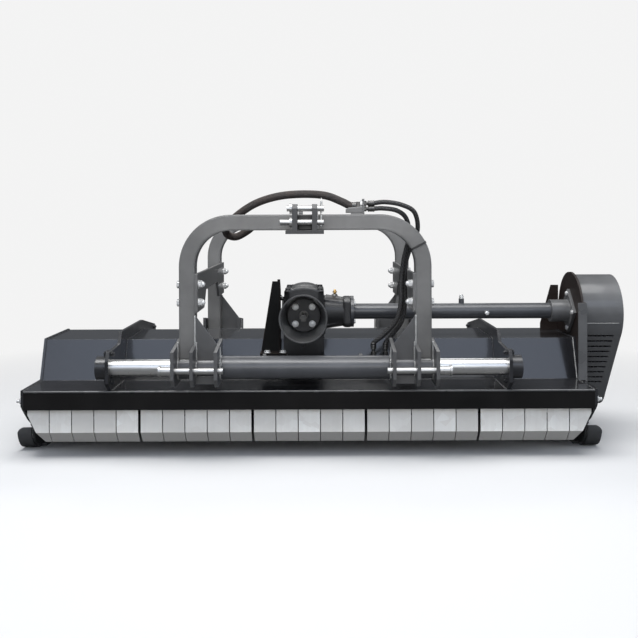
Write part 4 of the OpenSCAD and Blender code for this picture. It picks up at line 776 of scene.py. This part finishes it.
# Breather and oil plugs: a brass valve on the neck of the gearbox, a filler and a plug on the drive tube.
# Turned from bar with a hexagon to hold them, and screwed in.
BREATHER, FILLER, DRAIN = (123, 400, 708), (746, 400, 682), (862, 353, 616)
BREATHER_STEM, BREATHER_NUT = [(0, 7), (7, 7), (7.5, 6)], (19, 6)
BREATHER_CAP = [(0, 6.5), (5, 6.5), (8, 5), (9.5, 2.5)]
FILLER_LINE = [(0, 11.5), (5, 11.5), (5.5, 9.6), (9, 9.6), (9.5, 11), (13, 11), (13.5, 9.4), (19, 9.4), (21, 6)]
DRAIN_HEAD = (19, 8)
brass = bare_metal("breather_brass", (0.6, 0.38, 0.14), 0.3, size=300.0)
valve = bmesh.new()
breather = spot_on(DECK, *BREATHER)
turned(valve, breather, Z, BREATHER_STEM)
hexagon(valve, breather + Z * 0.007, Z, *BREATHER_NUT)
turned(valve, breather + Z * 0.013, Z, BREATHER_CAP)
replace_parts(finish_piece("breather", valve, brass, "deck"), "deck_bolts")
plugs = bmesh.new()
turned(plugs, spot_on(DECK, *FILLER), Z, FILLER_LINE)
hexagon(plugs, spot_on(DECK, *DRAIN), -Y, *DRAIN_HEAD)
finish_piece("oil_plugs", plugs, bright_zinc, "deck")

# Leg bolts: two through each leg of the arches and its link plate, with domed nuts at the inner side.
# Steel in bright zinc, on broad washers.
LEG_BOLT_Z, LEG_BOLT_SIZE, LEG_GRIP, NUT_SEAT = (706, 787), (30, 14, 10), 82, 476
BROAD_WASHER, NUT_HIGH = [(0, 20), (2.6, 20), (3.2, 19)], 15
DOME_R, DOME_HIGH, DOME_TURNS = 13.6, 13, (0.2, 0.5, 0.8, 1.1, 1.35)
dome = [(0, DOME_R)] + [(DOME_HIGH * math.sin(t), DOME_R * math.cos(t)) for t in DOME_TURNS]
nuts = bmesh.new()
for s in (-1, 1):
    for y in (TUBE_Y, REAR - TUBE_Y):
        for z in LEG_BOLT_Z:
            bolt(nuts, CARRIAGE, (s * LEG_OUT, y, z), s * X, LEG_BOLT_SIZE, LEG_GRIP)
            seat = spot_on(CARRIAGE, s * NUT_SEAT, y, z)
            turned(nuts, seat, -s * X, BROAD_WASHER)
            hexagon(nuts, seat - s * X * 0.003, -s * X, LEG_BOLT_SIZE[0], NUT_HIGH)
            turned(nuts, seat - s * X * 0.017, -s * X, dome)
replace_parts(finish_piece("leg_bolts", nuts, bright_zinc, "carriage"), "frame_bolts")

# Cable tie: a strap of moulded black nylon, pulled round the right bend of the arch.
# It holds the hoses to the bar behind it.
BEND, TIE_TURN = (328, 867), math.radians(27.5)
TIE_IN, TIE_OUT, TIE_FRONT, TIE_BACK, TIE_R = 159, 231, -11, 51, 5
TIE_T, TIE_W, TIE_STEPS = 1.8, 9.0, 5
moulded_black = painted("moulded_black", (0.02, 0.02, 0.02), 0.36, peel=500.0, depth=0.0003,
                        worn_and_lit=(0.06, 0.06, 0.06), wear_and_sheen=0.4)
tie = bmesh.new()
rows = []
for corner_r, corner_y, start in ((TIE_OUT - TIE_R, TIE_BACK, 0), (TIE_IN + TIE_R, TIE_BACK, 90),
                                  (TIE_IN + TIE_R, TIE_FRONT, 180), (TIE_OUT - TIE_R, TIE_FRONT, 270)):
    for k in range(TIE_STEPS):
        a = math.radians(start + 22.5 * k)
        row = []
        for grow, shift in ((TIE_R, -1), (TIE_R, 1), (TIE_R + TIE_T, 1), (TIE_R + TIE_T, -1)):
            r, y = corner_r + grow * math.cos(a), corner_y + grow * math.sin(a)
            x = BEND[0] + r * math.cos(TIE_TURN) - shift * TIE_W / 2 * math.sin(TIE_TURN)
            z = BEND[1] + r * math.sin(TIE_TURN) + shift * TIE_W / 2 * math.cos(TIE_TURN)
            row.append(tie.verts.new(spot_on(CARRIAGE, x, y, z)))
        rows.append(row)
for low, high in zip(rows, rows[1:] + rows[:1]):
    for k in range(4):
        n = (k + 1) % 4
        tie.faces.new((low[k], low[n], high[n], high[k]))
finish_piece("cable_tie", tie, moulded_black, "carriage")

# Ear pad: a dark block between the two ears of the top link, painted shade for the dark gap between them.
# It has rounded edges, sits between the ears and takes the moulded black of the cable tie.
PAD_SIZE, PAD_Y, PAD_Z, PAD_ROUND = (62, 6, 66), -18, 1062, 0.002
pad = bmesh.new()
bmesh.ops.create_cube(pad, size=1.0)
for v in pad.verts:
    v.co = spot_on(CARRIAGE, v.co.x * PAD_SIZE[0], PAD_Y + v.co.y * PAD_SIZE[1], PAD_Z + v.co.z * PAD_SIZE[2])
bmesh.ops.bevel(pad, geom=pad.edges[:], offset=PAD_ROUND, segments=2, affect="EDGES")
finish_piece("ear_gap_shade", pad, moulded_black, "carriage")

# Bulkhead gusset: a cut plate under the hose bulkhead, welded to the top bar of the arch.
# 6 mm steel in the satin grey of the carriage.
ARCH = 1097.0
GUSSET_LINE, GUSSET_FACES = [(180, 5.5), (255.5, 5.5), (255.5, 34), (194, 30), (180, 22)], (-7, -1)
gusset = bmesh.new()
stack(gusset, [[gusset.verts.new(spot_on(CARRIAGE, x, y, ARCH + z)) for x, z in GUSSET_LINE]
               for y in GUSSET_FACES])
finish_piece("bulkhead_gusset", gusset, satin_grey, "carriage")

# Hoses: two pressure hoses from the bulkhead to the cylinder, and a thick sleeved pair for the tractor.
# Black rubber with crimped ferrules, and a woven sleeve on the thick one.
HOSE_R, HOSE_SIDES, SLEEVED_R, SLEEVED_SIDES, ROUTE_STEPS = 0.0105, 20, 0.0175, 28, 10
FERRULE = [(0, 11.2), (1.5, 13.2), (6, 13.2), (7, 12.4), (11, 12.4), (12, 13.2), (17, 13.2), (18, 12.4),
           (22, 12.4), (23, 13.2), (28, 13.2), (30, 11.4)]
BIG_LONG, BIG_WIDE = 0.7, 1.42
BIG_FERRULE = [(d * BIG_LONG, r * BIG_WIDE) for d, r in FERRULE]
CYLINDER_ROUTES = [
    [(279.4, 20, ARCH + 48), (300, 20, ARCH + 48), (355, 22, ARCH + 54), (430, 28, ARCH + 42),
     (490, 44, ARCH + 8), (508, 78, ARCH - 70), (480, 100, 950), (456, 106, 870), (452, 108, 780),
     (452, 108, 690), (438, 112, 610), (395, 126, 545), (365, 132, 505), (365, 132, 477.4)],
    [(279.4, 20, ARCH + 24), (300, 20, ARCH + 24), (345, 24, ARCH + 26), (410, 34, ARCH + 16),
     (455, 60, ARCH - 20), (470, 84, 1000), (448, 90, 900), (434, 86, 800), (432, 84, 700),
     (412, 90, 615), (360, 112, 550), (310, 132, 505), (310, 132, 477.4)],
]
TRACTOR_ROUTE = [
    (228.6, 20, ARCH + 36), (205, 20, ARCH + 36), (160, 21, ARCH + 58), (90, 26, ARCH + 84),
    (-10, 32, ARCH + 91), (-120, 42, ARCH + 82), (-220, 60, ARCH + 52), (-300, 86, ARCH + 4),
    (-358, 124, ARCH - 48), (-366, 168, ARCH - 88), (-326, 202, ARCH - 102), (-270, 206, ARCH - 72),
    (-228, 195, ARCH - 35), (-194.4, 195, ARCH - 35)]


def smooth_route(points):
    pts = [Vector(p) / 1000 + CARRIAGE for p in points]
    out = []
    for i in range(len(pts) - 1):
        a, b, c, d = pts[max(i - 1, 0)], pts[i], pts[i + 1], pts[min(i + 2, len(pts) - 1)]
        for k in range(ROUTE_STEPS):
            t = k / ROUTE_STEPS
            out.append(0.5 * (2 * b + (c - a) * t + (2 * a - 5 * b + 4 * c - d) * t * t
                              + (3 * b - a - 3 * c + d) * t ** 3))
    return out + [pts[-1]]


def tube_along(name, line, radius, sides):
    bm = bmesh.new()
    uv = bm.loops.layers.uv.new("along")
    rings = [[bm.verts.new(p + radius * (math.cos(a) * side + math.sin(a) * other)) for a in turns(sides)]
             for p, ahead, side, other in walk(line, Y)]
    travel = [0.0]
    for a, b in zip(line, line[1:]):
        travel.append(travel[-1] + (b - a).length)
    for i in range(len(line) - 1):
        for k in range(sides):
            n = (k + 1) % sides
            face = bm.faces.new((rings[i][k], rings[i][n], rings[i + 1][n], rings[i + 1][k]))
            face.smooth = True
            for loop, u, v in zip(face.loops, (i, i, i + 1, i + 1), (k, k + 1, k + 1, k)):
                loop[uv].uv = (travel[u], v / sides)
    bm.faces.new(rings[0][::-1])
    bm.faces.new(rings[-1])
    mesh = bpy.data.meshes.new(name)
    bm.to_mesh(mesh)
    bm.free()
    obj = bpy.data.objects.new(name, mesh)
    bpy.context.scene.collection.objects.link(obj)
    return obj, travel[-1]


# Crossing strands of a braided sleeve, from the length along the hose and the turn round it
braid, g_in, g_out = effect_group("braid", [("Pitch", 0.012), ("Strands", 10.0)], [("Height", "Float")])
lay = add_node(braid, "ShaderNodeUVMap", uv_map="along")
parts = add_node(braid, "ShaderNodeSeparateXYZ")
braid.links.new(lay.outputs[0], parts.inputs[0])
run = maths(braid, "DIVIDE", parts.outputs["X"], g_in.outputs["Pitch"])
run = maths(braid, "MULTIPLY", run, 2 * math.pi)
turn_by = maths(braid, "MULTIPLY", parts.outputs["Y"], g_in.outputs["Strands"])
turn_by = maths(braid, "MULTIPLY", turn_by, 2 * math.pi)
left = maths(braid, "SINE", maths(braid, "ADD", run, turn_by))
right = maths(braid, "SINE", maths(braid, "SUBTRACT", run, turn_by))
braid.links.new(maths(braid, "ABSOLUTE", maths(braid, "MULTIPLY", left, right)), g_out.inputs["Height"])


def braided(name, pitch, strands, low, high, stain, rough, depth):
    sleeve, tree, skin = new_skin(name)
    plait = place_group(tree, braid, Pitch=pitch, Strands=strands)
    film = place_group(tree, paint_film, Peel=300.0, Wave=14.0)
    base = blend_colours(tree, plait.outputs["Height"], low, high)
    tree.links.new(blend_colours(tree, span(tree, film.outputs["Tone"], 0.0, 0.5), base, stain),
                   skin.inputs["Base Color"])
    skin.inputs["Roughness"].default_value = rough
    bump = add_node(tree, "ShaderNodeBump", Distance=depth)
    tree.links.new(plait.outputs["Height"], bump.inputs["Height"])
    tree.links.new(bump.outputs["Normal"], skin.inputs["Normal"])
    return sleeve


woven = braided("woven_sleeve", 0.012, 10.0, low=(0.01, 0.009, 0.009), high=(0.06, 0.052, 0.048),
                stain=(0.06, 0.038, 0.03), rough=0.62, depth=0.0015)
hose_rubber = braided("wrapped_rubber", 0.03, 2.0, low=(0.012, 0.012, 0.012), high=(0.04, 0.039, 0.038),
                      stain=(0.03, 0.028, 0.027), rough=0.45, depth=0.002)
ferrules = bmesh.new()
for i, route in enumerate(CYLINDER_ROUTES):
    line = smooth_route(route)
    hose, long = tube_along("cylinder_hose_%d" % (i + 1), line, HOSE_R, HOSE_SIDES)
    hose.data.materials.append(hose_rubber)
    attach(hose, "carriage")
    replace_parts(hose, "cylinder_hoses")
    turned(ferrules, line[0], X, FERRULE)
    turned(ferrules, line[-1], Z, FERRULE)
line = smooth_route(TRACTOR_ROUTE)
sleeve_hose, long = tube_along("sleeved_hose", line, SLEEVED_R, SLEEVED_SIDES)
sleeve_hose.data.materials.append(woven)
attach(sleeve_hose, "carriage")
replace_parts(sleeve_hose, "tractor_hose")
turned(ferrules, line[0], -X, BIG_FERRULE)
finish_piece("hose_ferrules", ferrules, dark_steel, "carriage")
